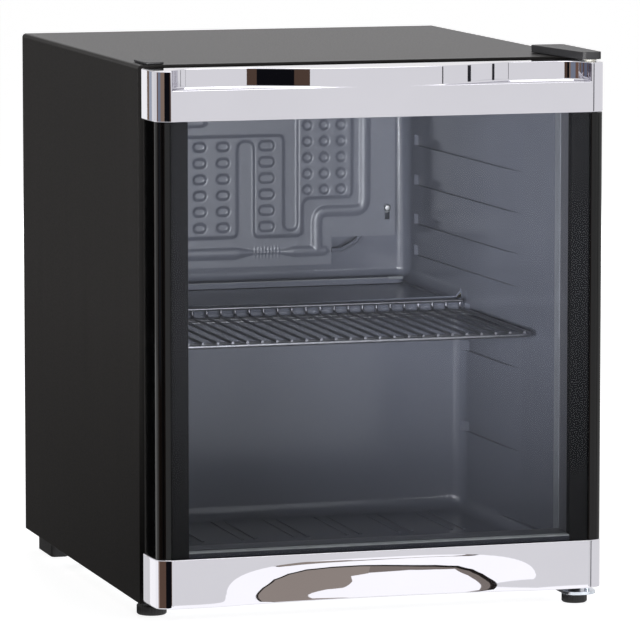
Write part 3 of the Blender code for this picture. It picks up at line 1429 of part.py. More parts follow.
def build_refrigerant_tubes():
    drier_depth = BAY_FRONT + STEEL + DRIER_FROM_PANEL
    low = CROSSBAR_TOP + DRIER_LEVEL
    shoulder = DRIER_RADIUS
    profile = [
        (0, DRIER_LENGTH),
        (DRIER_NECK, DRIER_LENGTH),
        (DRIER_NECK, DRIER_LENGTH - shoulder),
        (DRIER_RADIUS, DRIER_LENGTH - 2 * shoulder),
        (DRIER_RADIUS, 2 * shoulder),
        (DRIER_NECK, shoulder),
        (DRIER_NECK, 0),
        (0, 0),
    ]
    paint(turned("filter_drier", profile, (DRIER_X, drier_depth, low), steps=14), COPPER, 0.3, 1.0)
    drier_top = low + DRIER_LENGTH + SEAT_GAP
    panel_face = BAY_FRONT + STEEL + SEAT_GAP
    bend_level = drier_top + 2 * TUBE_BEND
    liquid = [
        (DRIER_X, drier_depth, drier_top),
        (DRIER_X, drier_depth, bend_level),
        (DRIER_X, panel_face, bend_level),
    ]
    paint(tube("liquid_tube", bent_path(liquid, TUBE_BEND), DRIER_NECK), COPPER, 0.35, 1.0)
    can_side = COMPRESSOR_RADIUS + WELD_RIM + SEAT_GAP
    middle = FOOT_PLATE_BASE + COMPRESSOR_HEIGHT * 0.62
    rise = COMPRESSOR_TOP + TUBE_BEND
    left = COMPRESSOR_X - can_side
    discharge_x = DISCHARGE_FROM_SIDE - CABINET_HALF
    discharge = [
        (left, COMPRESSOR_DEPTH, middle),
        (discharge_x, COMPRESSOR_DEPTH, middle),
        (discharge_x, COMPRESSOR_DEPTH, rise),
        (discharge_x, panel_face, rise),
    ]
    paint(tube("discharge_tube", bent_path(discharge, TUBE_BEND), TUBE_RADIUS), COPPER, 0.35, 1.0)
    front = COMPRESSOR_DEPTH - can_side
    stand = BAY_FRONT + STEEL + SUCTION_STANDOFF
    suction = [
        (COMPRESSOR_X, front, middle),
        (COMPRESSOR_X, stand, middle),
        (COMPRESSOR_X, stand, BAY_CEILING - SEAT_GAP),
    ]
    paint(tube("suction_tube", bent_path(suction, TUBE_BEND), TUBE_RADIUS), COPPER, 0.35, 1.0)


def build_drain():
    half_x = TRAY_SIZE[0] / 2
    half_y = TRAY_SIZE[1] / 2
    base = COMPRESSOR_TOP + COMPRESSOR_FOOT + TRAY_LIFT
    low = (COMPRESSOR_X - half_x, COMPRESSOR_DEPTH - half_y, base)
    high = (COMPRESSOR_X + half_x, COMPRESSOR_DEPTH + half_y, base + TRAY_SIZE[2])
    tray = box("drip_tray", low, high)
    room_low = [value + TRAY_WALL for value in low]
    room_high = [high[0] - TRAY_WALL, high[1] - TRAY_WALL, high[2] + OVERCUT]
    cut(tray, box("tray_room", room_low, room_high, CUTTERS))
    paint(tray, BLACK_PLASTIC, 0.5)
    bore = SPOUT_RADIUS - SPOUT_WALL
    top = BAY_CEILING - SEAT_GAP
    end = base + TRAY_SIZE[2] / 2
    ring = [(bore, top), (SPOUT_RADIUS, top), (SPOUT_RADIUS, end), (bore, end)]
    spout = turned("drain_spout", ring, (COMPRESSOR_X, COMPRESSOR_DEPTH, 0), steps=12, ring=True)
    paint(spout, GREY_PLASTIC, 0.5)


THERMOSTAT_REAR = OVERALL_DEPTH - THERMOSTAT_FROM_BACK
KNOB_Z = BAY_CEILING - SEAT_GAP - THERMOSTAT_SIZE[2] / 2


def build_thermostat():
    half = THERMOSTAT_SIZE[0] / 2
    top = BAY_CEILING - SEAT_GAP
    housing = box(
        "thermostat_housing",
        (THERMOSTAT_X - half, THERMOSTAT_REAR - THERMOSTAT_SIZE[1], top - THERMOSTAT_SIZE[2]),
        (THERMOSTAT_X + half, THERMOSTAT_REAR, top),
    )
    round_edges(housing, THERMOSTAT_SIZE[1] / 10, 2)
    paint(housing, BLACK_PLASTIC, 0.5)
    profile = [
        (0, KNOB_DEPTH),
        (KNOB_RADIUS * 0.82, KNOB_DEPTH),
        (KNOB_RADIUS * 0.90, KNOB_DEPTH * 0.55),
        (KNOB_RADIUS, KNOB_DEPTH * 0.45),
        (KNOB_RADIUS, SEAT_GAP),
        (0, SEAT_GAP),
    ]
    knob = turned("thermostat_knob", profile, (THERMOSTAT_X, THERMOSTAT_REAR, KNOB_Z), "Y", 20)
    grip_front = THERMOSTAT_REAR + KNOB_DEPTH - KNOB_GRIP
    grip_rise = THERMOSTAT_REAR + KNOB_DEPTH + KNOB_GRIP / 2
    grip = box(
        "knob_grip",
        (THERMOSTAT_X - KNOB_GRIP / 2, grip_front, KNOB_Z - KNOB_RADIUS * 0.7),
        (THERMOSTAT_X + KNOB_GRIP / 2, grip_rise, KNOB_Z + KNOB_RADIUS * 0.7),
        CUTTERS,
    )
    join(knob, grip)
    paint(knob, GREY_PLASTIC, 0.5)


def build_mains_inlet():
    half = TERMINAL_SIZE[0] / 2
    rear = OVERALL_DEPTH - TERMINAL_FROM_BACK
    base = CROSSBAR_TOP + SEAT_GAP
    terminal = box(
        "terminal_box",
        (TERMINAL_X - half, rear - TERMINAL_SIZE[1], base),
        (TERMINAL_X + half, rear, base + TERMINAL_SIZE[2]),
    )
    round_edges(terminal, TERMINAL_SIZE[1] / 12, 2)
    paint(terminal, BLACK_PLASTIC, 0.5)
    flange = GLAND_RADIUS + GLAND_RIM
    ring = [
        (GLAND_BORE, GLAND_LENGTH),
        (GLAND_RADIUS * 0.8, GLAND_LENGTH),
        (GLAND_RADIUS, GLAND_LENGTH * 0.3),
        (flange, GLAND_LENGTH * 0.25),
        (flange, SEAT_GAP),
        (GLAND_BORE, SEAT_GAP),
    ]
    place = (TERMINAL_X, rear, base + TERMINAL_SIZE[2] * 0.6)
    paint(turned("cord_gland", ring, place, "Y", 14, ring=True), BLACK_PLASTIC, 0.5)


def hang_on(axis_name, place, items):
    # Parents the items to an empty on their joint's axis without moving them.
    axis = bpy.data.objects.new(axis_name, None)
    axis.location = (place[0], place_y(place[1]), place[2])
    PARTS.objects.link(axis)
    for item in items:
        item.parent = axis
        item.location = item.location - axis.location
    return axis


def build_door():
    pieces = [*build_top_rail(), *build_bottom_rail(), *build_stiles(), *build_glazing()]
    pieces += [*build_frame_and_gasket(), *build_bushes()]
    hang_on("door_axis", (HINGE_X, HINGE_DEPTH, 0), pieces)


build_shell()
build_base_pan()
build_rear_panels()
build_liner()
build_foam()
build_condenser_coils()
build_evaporator()
build_evaporator_fixings()
build_capillary()
build_gutter()
build_shelf()
build_door()
build_top_hinge()
build_hinge_cover()
build_hinge_blank()
build_bottom_hinge()
build_feet()
build_crossbar()
build_compressor()
build_relay()
build_refrigerant_tubes()
build_drain()
build_thermostat()
build_mains_inlet()
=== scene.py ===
import math

import bmesh
import bpy
import numpy
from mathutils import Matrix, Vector


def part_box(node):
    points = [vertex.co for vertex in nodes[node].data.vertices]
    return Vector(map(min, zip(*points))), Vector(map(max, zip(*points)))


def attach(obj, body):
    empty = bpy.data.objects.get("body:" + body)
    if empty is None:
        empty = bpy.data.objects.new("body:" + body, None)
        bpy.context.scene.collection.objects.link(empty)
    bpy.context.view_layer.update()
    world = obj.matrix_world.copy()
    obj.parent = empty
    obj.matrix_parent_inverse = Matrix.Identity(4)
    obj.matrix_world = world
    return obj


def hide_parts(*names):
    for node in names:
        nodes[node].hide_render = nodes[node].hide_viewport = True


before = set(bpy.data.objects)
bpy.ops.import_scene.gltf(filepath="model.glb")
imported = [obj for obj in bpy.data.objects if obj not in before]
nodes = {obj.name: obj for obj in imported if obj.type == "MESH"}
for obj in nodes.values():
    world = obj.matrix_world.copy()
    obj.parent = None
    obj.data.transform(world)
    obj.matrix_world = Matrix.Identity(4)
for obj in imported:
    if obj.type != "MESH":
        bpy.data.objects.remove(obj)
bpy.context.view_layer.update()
scene = bpy.context.scene
print("frame in:", len(nodes), "nodes")

# camera, found from the straight edges of the photograph
cameraView = {
    "place": (-1.4034, -4.7794, 0.8548), "yaw": -16.543, "pitch": 6.959, "lens": 293.0, "sensor": 36.0,
    "farClip": 80,
}


def addCamera(view):
    data = bpy.data.cameras.new("photoCamera")
    data.sensor_width = view["sensor"]
    data.lens = view["lens"]
    data.clip_end = view["farClip"]
    camera = bpy.data.objects.new("photoCamera", data)
    camera.location = view["place"]
    camera.rotation_euler = (math.radians(90 - view["pitch"]), 0, math.radians(view["yaw"]))
    scene.collection.objects.link(camera)
    scene.camera = camera


addCamera(cameraView)
print("camera set")


# ways to make node materials; how many octaves each noise has
grainDetail = {"broad": 4.0, "fine": 3.0}


def setInputs(node, values):
    for key, value in values.items():
        node.inputs[key].default_value = value


def addNode(tree, kind, inputs=None, **settings):
    node = tree.nodes.new(kind)
    for key, value in settings.items():
        setattr(node, key, value)
    setInputs(node, inputs or {})
    return node


def newMaterial(name):
    material = bpy.data.materials.new(name)
    material.use_nodes = True
    tree = material.node_tree
    return material, tree, tree.nodes["Principled BSDF"]


def startFinish(name):
    material, tree, shader = newMaterial(name)
    place = addNode(tree, "ShaderNodeTexCoord")
    return material, tree, shader, place.outputs["Object"]


def noiseAt(tree, place, stretch, detail=grainDetail["broad"], roughness=0.55):
    scale = stretch if isinstance(stretch, tuple) else (stretch,) * 3
    mapping = addNode(tree, "ShaderNodeMapping", {"Scale": scale})
    noise = addNode(tree, "ShaderNodeTexNoise", {"Scale": 1.0, "Detail": detail, "Roughness": roughness})
    tree.links.new(place, mapping.inputs["Vector"])
    tree.links.new(mapping.outputs["Vector"], noise.inputs["Vector"])
    return noise.outputs["Fac"]


def spread(tree, value, low, high, fromLow=0.3, fromHigh=0.7):
    limits = {"From Min": fromLow, "From Max": fromHigh, "To Min": low, "To Max": high}
    node = addNode(tree, "ShaderNodeMapRange", limits)
    tree.links.new(value, node.inputs["Value"])
    return node.outputs["Result"]


def mixColour(tree, factor, dark, light):
    node = addNode(tree, "ShaderNodeMix", data_type="RGBA")
    colours = [socket for socket in node.inputs if socket.type == "RGBA"]
    colours[0].default_value = (*dark, 1)
    colours[1].default_value = (*light, 1)
    tree.links.new(factor, node.inputs[0])
    return [socket for socket in node.outputs if socket.type == "RGBA"][0]


def addBump(tree, shader, height, strength, distance):
    bump = addNode(tree, "ShaderNodeBump", {"Strength": strength, "Distance": distance})
    tree.links.new(height, bump.inputs["Height"])
    tree.links.new(bump.outputs["Normal"], shader.inputs["Normal"])


def shade(colour, share):
    return tuple(min(1.0, part * share) for part in colour)


def makeFinish(name, row):
    look = dict(zip(finishKeys, row)) | finishExtras.get(name, {})
    material, tree, shader, place = startFinish(name)
    broad = noiseAt(tree, place, look["grain"], look.get("detail", grainDetail["broad"]))
    factor = spread(tree, broad, 0, 1)
    colour = mixColour(
        tree, factor, shade(look["colour"], 1 - look["mottle"]), shade(look["colour"], 1 + look["mottle"])
    )
    tree.links.new(colour, shader.inputs["Base Color"])
    fine = noiseAt(tree, place, look["fineGrain"], grainDetail["fine"])
    tree.links.new(spread(tree, fine, *look["roughness"]), shader.inputs["Roughness"])
    if look["bump"]:
        addBump(tree, shader, fine, *look["bump"])
    setInputs(shader, {"Metallic": look["metallic"], "Specular IOR Level": look["specular"]})
    if "levelSpecular" in look:
        # level faces mirror less than upright ones: painted shade that keeps the cavity floor dark
        facing = addNode(tree, "ShaderNodeSeparateXYZ")
        tree.links.new(addNode(tree, "ShaderNodeTexCoord").outputs["Normal"], facing.inputs["Vector"])
        limits = (look["specular"], look["levelSpecular"], *look["levelFrom"])
        sheen = spread(tree, facing.outputs["Z"], *limits)
        tree.links.new(sheen, shader.inputs["Specular IOR Level"])
    return material


finishKeys = ("colour", "mottle", "grain", "fineGrain", "roughness", "bump", "specular", "metallic")
finishRows = {
    "blackEnamel": (
        (0.0125, 0.0118, 0.0115), 0.12, (90, 90, 3), 650, (0.30, 0.38), (0.06, 0.0003), 0.06, 0.0,
    ),
    "bayEnamel": ((0.013, 0.013, 0.014), 0.25, 30, 500, (0.26, 0.40), (0.15, 0.0004), 0.5, 0.0),
    "brightZinc": ((0.60, 0.64, 0.70), 0.12, 160, 900, (0.16, 0.30), (0.10, 0.0002), 0.5, 1.0),
    "screwSteel": ((0.46, 0.46, 0.46), 0.12, 700, 1500, (0.42, 0.54), (0.1, 0.0002), 0.5, 1.0),
    "wallFoam": ((0.80, 0.70, 0.45), 0.10, 120, 900, (0.75, 0.9), (0.5, 0.0008), 0.5, 0.0),
    "linerSheet": ((0.150, 0.157, 0.192), 0.04, 9, 40, (0.15, 0.19), (0.010, 0.0003), 0.65, 0.0),
    "greyMoulding": ((0.26, 0.27, 0.29), 0.06, 60, 1200, (0.34, 0.46), (0.08, 0.0002), 0.5, 0.0),
    "drawnCopper": ((0.62, 0.30, 0.19), 0.28, 55, 420, (0.24, 0.44), (0.05, 0.0002), 0.5, 1.0),
    "plateLacquer": ((0.150, 0.157, 0.190), 0.03, 12, 40, (0.32, 0.37), (0.02, 0.0002), 0.7, 0.0),
    "blackMoulding": ((0.0165, 0.0165, 0.018), 0.15, 45, 1600, (0.36, 0.50), (0.18, 0.0003), 0.25, 0.0),
    "frameGrey": ((0.100, 0.100, 0.113), 0.08, 40, 1200, (0.34, 0.44), (0.08, 0.0002), 0.5, 0.0),
    "stileGloss": (
        (0.0045, 0.0045, 0.0052), 0.12, (20, 20, 5), 300, (0.04, 0.07), (0.006, 0.0003), 0.30, 0.0,
    ),
    "railChrome": ((0.640, 0.630, 0.678), 0.02, 9, 60, (0.012, 0.035), None, 0.5, 1.0),
    # the ribs get a darker copy of the frame's chrome wire: painted shade, for ribs that stand in shade
    "shadedRibWire": ((0.19, 0.19, 0.21), 0.08, 120, 900, (0.34, 0.42), (0.05, 0.0002), 0.5, 1.0),
    "spacerBlack": ((0.046, 0.049, 0.066), 0.10, 60, 900, (0.34, 0.44), (0.06, 0.0002), 0.2, 0.0),
    "spacerBright": ((0.42, 0.44, 0.45), 0.20, 70, 900, (0.30, 0.42), (0.06, 0.0002), 0.5, 0.0),
    "wireChrome": ((0.30, 0.30, 0.32), 0.08, 120, 900, (0.28, 0.36), (0.05, 0.0002), 0.5, 1.0),
    "borderInk": ((0.0060, 0.0060, 0.0072), 0.10, 30, 600, (0.50, 0.60), (0.03, 0.0002), 0.05, 0.0),
    "sealRubber": ((0.210, 0.217, 0.240), 0.12, 35, 1300, (0.48, 0.62), (0.2, 0.0003), 0.5, 0.0),
    "footRubber": ((0.011, 0.011, 0.012), 0.2, 80, 1500, (0.40, 0.58), (0.25, 0.0003), 0.5, 0.0),
    "naturalNylon": ((0.62, 0.60, 0.54), 0.06, 150, 1500, (0.4, 0.55), (0.1, 0.0002), 0.5, 0.0),
}
finishExtras = {
    "blackEnamel": {"detail": 6.0},
    "linerSheet": {"levelSpecular": 0.1, "levelFrom": (0.5, 0.9)},
}

zincLook = {
    "dark": (0.36, 0.38, 0.41), "light": (0.60, 0.62, 0.66), "spangle": 95.0, "roughness": (0.28, 0.46),
    "scratches": (700, 700, 40), "bump": (0.08, 0.0002),
}


def makeZinc(look):
    # galvanised sheet: spangles of differing brightness under fine drawing lines
    material, tree, shader, place = startFinish("galvanisedSheet")
    spangle = addNode(tree, "ShaderNodeTexVoronoi", {"Scale": look["spangle"]})
    tree.links.new(place, spangle.inputs["Vector"])
    grey = addNode(tree, "ShaderNodeRGBToBW")
    tree.links.new(spangle.outputs["Color"], grey.inputs["Color"])
    colour = mixColour(tree, grey.outputs["Val"], look["dark"], look["light"])
    tree.links.new(colour, shader.inputs["Base Color"])
    matt = spread(tree, grey.outputs["Val"], *look["roughness"], 0, 1)
    tree.links.new(matt, shader.inputs["Roughness"])
    addBump(tree, shader, noiseAt(tree, place, look["scratches"]), *look["bump"])
    setInputs(shader, {"Metallic": 1.0})
    return material


glassLook = {
    "tint": (0.985, 0.99, 0.998), "body": 0.045, "colour": (0.02, 0.021, 0.023), "smear": (7, 7, 3),
    "roughness": (0.010, 0.024), "specular": 1.0,
}


def makeGlass(look):
    # thin pane: most light goes straight through, a weak dark mirror lies over it
    material, tree, shader, place = startFinish("paneGlass")
    setInputs(shader, {"Base Color": (*look["colour"], 1), "Specular IOR Level": look["specular"]})
    smear = noiseAt(tree, place, look["smear"], grainDetail["fine"])
    tree.links.new(spread(tree, smear, *look["roughness"]), shader.inputs["Roughness"])
    clear = addNode(tree, "ShaderNodeBsdfTransparent", {"Color": (*look["tint"], 1)})
    mix = addNode(tree, "ShaderNodeMixShader", {"Fac": look["body"]})
    tree.links.new(clear.outputs["BSDF"], mix.inputs[1])
    tree.links.new(shader.outputs["BSDF"], mix.inputs[2])
    tree.links.new(mix.outputs["Shader"], tree.nodes["Material Output"].inputs["Surface"])
    return material


finishes = {name: makeFinish(name, row) for name, row in finishRows.items()}
finishes["galvanisedSheet"] = makeZinc(zincLook)
finishes["paneGlass"] = makeGlass(glassLook)
print("finishes made:", len(finishes))


# CAD pieces keep their shape: welded and shaded smooth by a modifier, with a small round on crisp edges
cadShading = {"weld": 0.00001, "crispAngle": 34, "roundAngle": 50, "roundSegments": 2, "normalWeight": 60}


def makeSoftShading(look):
    group = bpy.data.node_groups.new("softShading", "GeometryNodeTree")
    group.interface.new_socket("Geometry", in_out="INPUT", socket_type="NodeSocketGeometry")
    group.interface.new_socket("Angle", in_out="INPUT", socket_type="NodeSocketFloat")
    group.interface.new_socket("Geometry", in_out="OUTPUT", socket_type="NodeSocketGeometry")
    start = addNode(group, "NodeGroupInput")
    end = addNode(group, "NodeGroupOutput")
    bare = addNode(group, "GeometryNodeRemoveAttribute", {"Name": "custom_normal"})
    weld = addNode(group, "GeometryNodeMergeByDistance", {"Distance": look["weld"]})
    smooth = addNode(group, "GeometryNodeSetShadeSmooth", domain="FACE")
    crisp = addNode(group, "GeometryNodeSetShadeSmooth", {"Shade Smooth": False}, domain="EDGE")
    angle = addNode(group, "GeometryNodeInputMeshEdgeAngle")
    steep = addNode(group, "FunctionNodeCompare", data_type="FLOAT", operation="GREATER_THAN")
    allSoft = addNode(group, "GeometryNodeSetShadeSmooth", domain="EDGE")
    chain = (start, bare, weld, smooth, allSoft, crisp, end)
    for before, after in zip(chain, chain[1:]):
        group.links.new(before.outputs["Geometry"], after.inputs["Geometry"])
    group.links.new(angle.outputs["Unsigned Angle"], steep.inputs[0])
    group.links.new(start.outputs["Angle"], steep.inputs[1])
    group.links.new(steep.outputs["Result"], crisp.inputs["Selection"])
    return group


softShading = makeSoftShading(cadShading)
edgeRound = {
    "cabinet_shell": 0.0004, "hinge_cover": 0.0009, "hinge_blank": 0.0005, "bottom_hinge": 0.0004,
    "rear_foot_left": 0.0012, "rear_foot_right": 0.0012, "crossbar": 0.0003, "top_hinge": 0.0003,
    "drip_tray": 0.0004, "drip_gutter": 0.0004, "thermostat_knob": 0.0004,
}
nodeFinish = {
    "blackEnamel": ["cabinet_shell", "back_panel"],
    "bayEnamel": ["compressor"],
    "galvanisedSheet": ["base_pan", "bay_panel", "top_hinge", "crossbar"],
    "brightZinc": ["bottom_hinge"],
    "screwSteel": [
        "evaporator_screw_left", "evaporator_screw_right", "hinge_screw_front", "hinge_screw_rear",
        "bracket_screw_front", "bracket_screw_rear",
    ],
    "wallFoam": ["insulation_foam"],
    "linerSheet": ["inner_liner", "drip_gutter"],
    "greyMoulding": ["evaporator_spacer_left", "evaporator_spacer_right", "drain_spout", "thermostat_knob"],
    "drawnCopper": [
        "condenser_coil_left", "condenser_coil_right", "filter_drier", "liquid_tube",
        "discharge_tube", "suction_tube",
    ],
    "plateLacquer": ["capillary_tube"],
    "blackMoulding": [
        "hinge_cover", "hinge_blank", "relay_cover", "drip_tray", "thermostat_housing", "terminal_box",
        "cord_gland",
    ],
    "frameGrey": ["door_inner_frame"],
    "borderInk": ["glass_spacer"],
    "paneGlass": ["glass_outer", "glass_inner"],
    "sealRubber": ["door_gasket"],
    "footRubber": [
        "rear_foot_left", "rear_foot_right", "grommet_1", "grommet_2", "grommet_3", "grommet_4",
    ],
    "naturalNylon": ["door_bush_top", "door_bush_bottom"],
}


def addWeightedNormals(piece):
    modifier = piece.modifiers.new("evenNormals", "WEIGHTED_NORMAL")
    modifier.keep_sharp = True
    modifier.weight = cadShading["normalWeight"]


def dressNodes(look):
    for finishName, names in nodeFinish.items():
        for name in names:
            piece = nodes[name]
            piece.data.materials.clear()
            piece.data.materials.append(finishes[finishName])
            modifier = piece.modifiers.new("softShading", "NODES")
            modifier.node_group = softShading
            for item in softShading.interface.items_tree:
                if item.name == "Angle":
                    modifier[item.identifier] = math.radians(look["crispAngle"])
            if name in edgeRound:
                bevel = piece.modifiers.new("edgeRound", "BEVEL")
                bevel.width = edgeRound[name]
                bevel.segments = look["roundSegments"]
                bevel.limit_method = "ANGLE"
                bevel.angle_limit = math.radians(look["roundAngle"])
                bevel.use_clamp_overlap = True
            addWeightedNormals(piece)


dressNodes(cadShading)
print("CAD pieces dressed")


# ways to make new pieces; an edge that bends more than its angle, in degrees, stays crisp
crispAngles = {"piece": 40, "wire": 50, "plate": 55}


def newPiece(name, mesh, finishName, body, replaced=()):
    mesh.materials.append(finishes[finishName])
    piece = bpy.data.objects.new(name, mesh)
    scene.collection.objects.link(piece)
    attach(piece, body)
    if replaced:
        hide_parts(*replaced)
    return piece


def takeMesh(shape, name):
    mesh = bpy.data.meshes.new(name)
    shape.to_mesh(mesh)
    shape.free()
    return mesh


def plainMesh(name, points, faces):
    mesh = bpy.data.meshes.new(name)
    mesh.from_pydata(points, [], faces)
    mesh.update()
    return mesh


def meshFrom(name, points, faces, merge=0.000002):
    shape = bmesh.new()
    verts = [shape.verts.new(point) for point in points]
    for face in faces:
        shape.faces.new([verts[index] for index in face])
    bmesh.ops.remove_doubles(shape, verts=shape.verts, dist=merge)
    bmesh.ops.dissolve_degenerate(shape, edges=shape.edges, dist=merge)
    bmesh.ops.recalc_face_normals(shape, faces=shape.faces)
    mesh = takeMesh(shape, name)
    softenMesh(mesh, crispAngles["piece"])
    return mesh


def softenMesh(mesh, crispAngle):
    shape = bmesh.new()
    shape.from_mesh(mesh)
    for face in shape.faces:
        face.smooth = True
    for edge in shape.edges:
        edge.smooth = len(edge.link_faces) == 2 and edge.calc_face_angle() < math.radians(crispAngle)
    shape.to_mesh(mesh)
    shape.free()


def carve(mesh, boxes):
    # takes box-shaped seats out of a mesh
    blank = bpy.data.objects.new("carveBlank", mesh)
    scene.collection.objects.link(blank)
    tools = []
    for low, high in boxes:
        shape = bmesh.new()
        bmesh.ops.create_cube(shape, size=1)
        for vert in shape.verts:
            vert.co = [low[i] + (high[i] - low[i]) * (vert.co[i] + 0.5) for i in range(3)]
        tool = bpy.data.objects.new("carveTool", takeMesh(shape, "carveTool"))
        scene.collection.objects.link(tool)
        modifier = blank.modifiers.new("carve", "BOOLEAN")
        modifier.operation = "DIFFERENCE"
        modifier.solver = "EXACT"
        modifier.object = tool
        tools.append(tool)
    bpy.context.view_layer.update()
    graph = bpy.context.evaluated_depsgraph_get()
    carved = bpy.data.meshes.new_from_object(blank.evaluated_get(graph))
    for item in tools + [blank]:
        bpy.data.objects.remove(item, do_unlink=True)
    softenMesh(carved, crispAngles["piece"])
    return carved


def ringFaces(count, sides, closed=False):
    # faces between rings of points, with an end on the first and last ring of an open run
    faces = []
    for index in range(count if closed else count - 1):
        near = index * sides
        far = (index + 1) % count * sides
        for side in range(sides):
            step = (side + 1) % sides
            faces.append((near + side, near + step, far + step, far + side))
    if not closed:
        faces.append(tuple(reversed(range(sides))))
        faces.append(tuple((count - 1) * sides + side for side in range(sides)))
    return faces


def tubeParts(path, radius, sides, closed=False, sharpest=0.5):
    # points and faces of a round wire along a path, made no wider at a bend than its sharpest cosine asks
    path = [Vector(point) for point in path]
    count = len(path)
    points = []
    across = None
    for index, point in enumerate(path):
        before = path[index - 1] if index or closed else point
        after = path[(index + 1) % count] if index < count - 1 or closed else point
        along = (after - before).normalized()
        if across is None:
            across = along.orthogonal().normalized()
        across = (across - along * across.dot(along)).normalized()
        over = along.cross(across)
        turn = along.angle(after - point) if (after - point).length > 0 else 0
        reach = radius / max(sharpest, math.cos(turn))
        for side in range(sides):
            angle = 2 * math.pi * side / sides
            points.append(point + (across * math.cos(angle) + over * math.sin(angle)) * reach)
    return points, ringFaces(count, sides, closed)


def wireMesh(name, wires, sides=10):
    points = []
    faces = []
    for wire in wires:
        more, moreFaces = tubeParts(wire["path"], wire["radius"], sides, wire.get("closed", False))
        offset = len(points)
        points.extend(more)
        faces.extend(tuple(index + offset for index in face) for face in moreFaces)
    mesh = plainMesh(name, [tuple(point) for point in points], faces)
    softenMesh(mesh, crispAngles["wire"])
    return mesh


def quarterTurns(steps):
    return [math.pi / 2 * step / steps for step in range(steps + 1)]


def prismFaces(count):
    # sides and both ends of a straight bar whose section has this many points
    faces = [(i, (i + 1) % count, count + (i + 1) % count, count + i) for i in range(count)]
    return faces + [tuple(range(count)), tuple(range(count, 2 * count))]


def outwardNormals(line):
    # unit normals of a plan line that runs from the left side round the front to the right side
    normals = []
    for index in range(len(line)):
        before = line[max(0, index - 1)]
        after = line[min(len(line) - 1, index + 1)]
        run = (after[0] - before[0], after[1] - before[1])
        length = math.hypot(*run) or 1.0
        normals.append((run[1] / length, -run[0] / length))
    return normals


def bothSides(line):
    # a plan line that starts in the middle, mirrored to the left and joined
    return [(-x, y) for x, y in reversed(line[1:])] + line


seat = {"gap": 0.0004, "reach": 0.02}


def seatBoxes(railLow, railHigh, upward):
    # room for the panes and the inner frame in a rail, as the CAD has it
    gap = seat["gap"]
    reach = seat["reach"]
    frameLow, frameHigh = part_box("door_inner_frame")
    boxes = []
    for node, rear in (("glass_outer", frameLow.y), ("door_inner_frame", frameHigh.y + reach)):
        low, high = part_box(node)
        base, top = (railLow.z - reach, high.z + gap) if upward else (low.z - gap, railHigh.z + reach)
        boxes.append(((low.x - gap, low.y - gap, base), (high.x + gap, rear, top)))
    return boxes


def cornerLine(half, depth, look, steps=8):
    # plan points of a rounded end, from the crease where the flat front stops, round each bend, to the back
    line = [(0.0, 0.0)]
    turned = math.radians(look["crease"])
    for length, degrees in look["bends"]:
        turn = math.radians(degrees)
        for step in range(steps):
            angle = turned + (turn - turned) * (step + 0.5) / steps
            x, y = line[-1]
            line.append((x + math.cos(angle) * length / steps, y + math.sin(angle) * length / steps))
        turned = turn
    sideX, sideY = line[-1]
    flare = (depth - sideY) / math.tan(turned) / 2
    for step in range(1, steps + 1):
        share = step / steps
        line.append((sideX + flare * (1 - (1 - share) ** 2), sideY + (depth - sideY) * share))
    shift = half - line[-1][0]
    return [(x + shift, y) for x, y in line]


def loftRail(name, rows, rear, straight=1e-7):
    # rows of points, each from the left rear round the front to the right rear, bottom row first
    width = len(rows[0])
    points = [point for row in rows for point in row]
    faces = []
    for level in range(len(rows) - 1):
        for column in range(width - 1):
            near = level * width + column
            faces.append((near, near + 1, near + width + 1, near + width))
    backLines = []
    for level in (0, len(rows) - 1):
        row = rows[level]
        base = level * width
        first = 0
        while row[first + 1][0] - row[0][0] < straight:
            first += 1
        last = width - 1
        while row[-1][0] - row[last - 1][0] < straight:
            last -= 1
        back = {}
        for column in range(first + 1, last):
            back[column] = len(points)
            points.append((row[column][0], rear, row[column][2]))
        faces.append((*range(base, base + first + 2), back[first + 1]))
        for column in range(first + 1, last - 1):
            faces.append((base + column, base + column + 1, back[column + 1], back[column]))
        faces.append((*range(base + last - 1, base + width), back[last - 1]))
        backLines.append([base, *back.values(), base + width - 1])
    inner = range(1, len(rows) - 1)
    rightSide = [level * width + width - 1 for level in inner]
    leftSide = [level * width for level in reversed(inner)]
    faces.append((*backLines[0], *rightSide, *reversed(backLines[1]), *leftSide))
    return meshFrom(name, points, faces)


def addRail(name, node, rows, upward):
    low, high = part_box(node)
    mesh = carve(loftRail(name, rows, high.y), seatBoxes(low, high, upward))
    addWeightedNormals(newPiece(name, mesh, "railChrome", "door", [node]))


topRail = {
    "crease": 20, "bends": ((0.0105, 28), (0.0075, 85)), "recessHeight": 0.0175, "recessDepth": 0.0280,
    "pocketEnd": 0.0250, "crest": 0.0150, "flat": 0.1350, "flatShares": (0.33, 0.66), "skew": 1.6,
    "edge": 0.0008, "lip": 0.0007, "cove": 0.0018, "endRound": 0.0014, "fadeDepth": 0.0040,
    "crestSteps": 4, "waveSteps": 30, "endSteps": 16, "tipSteps": 4, "roundSteps": 4,
}


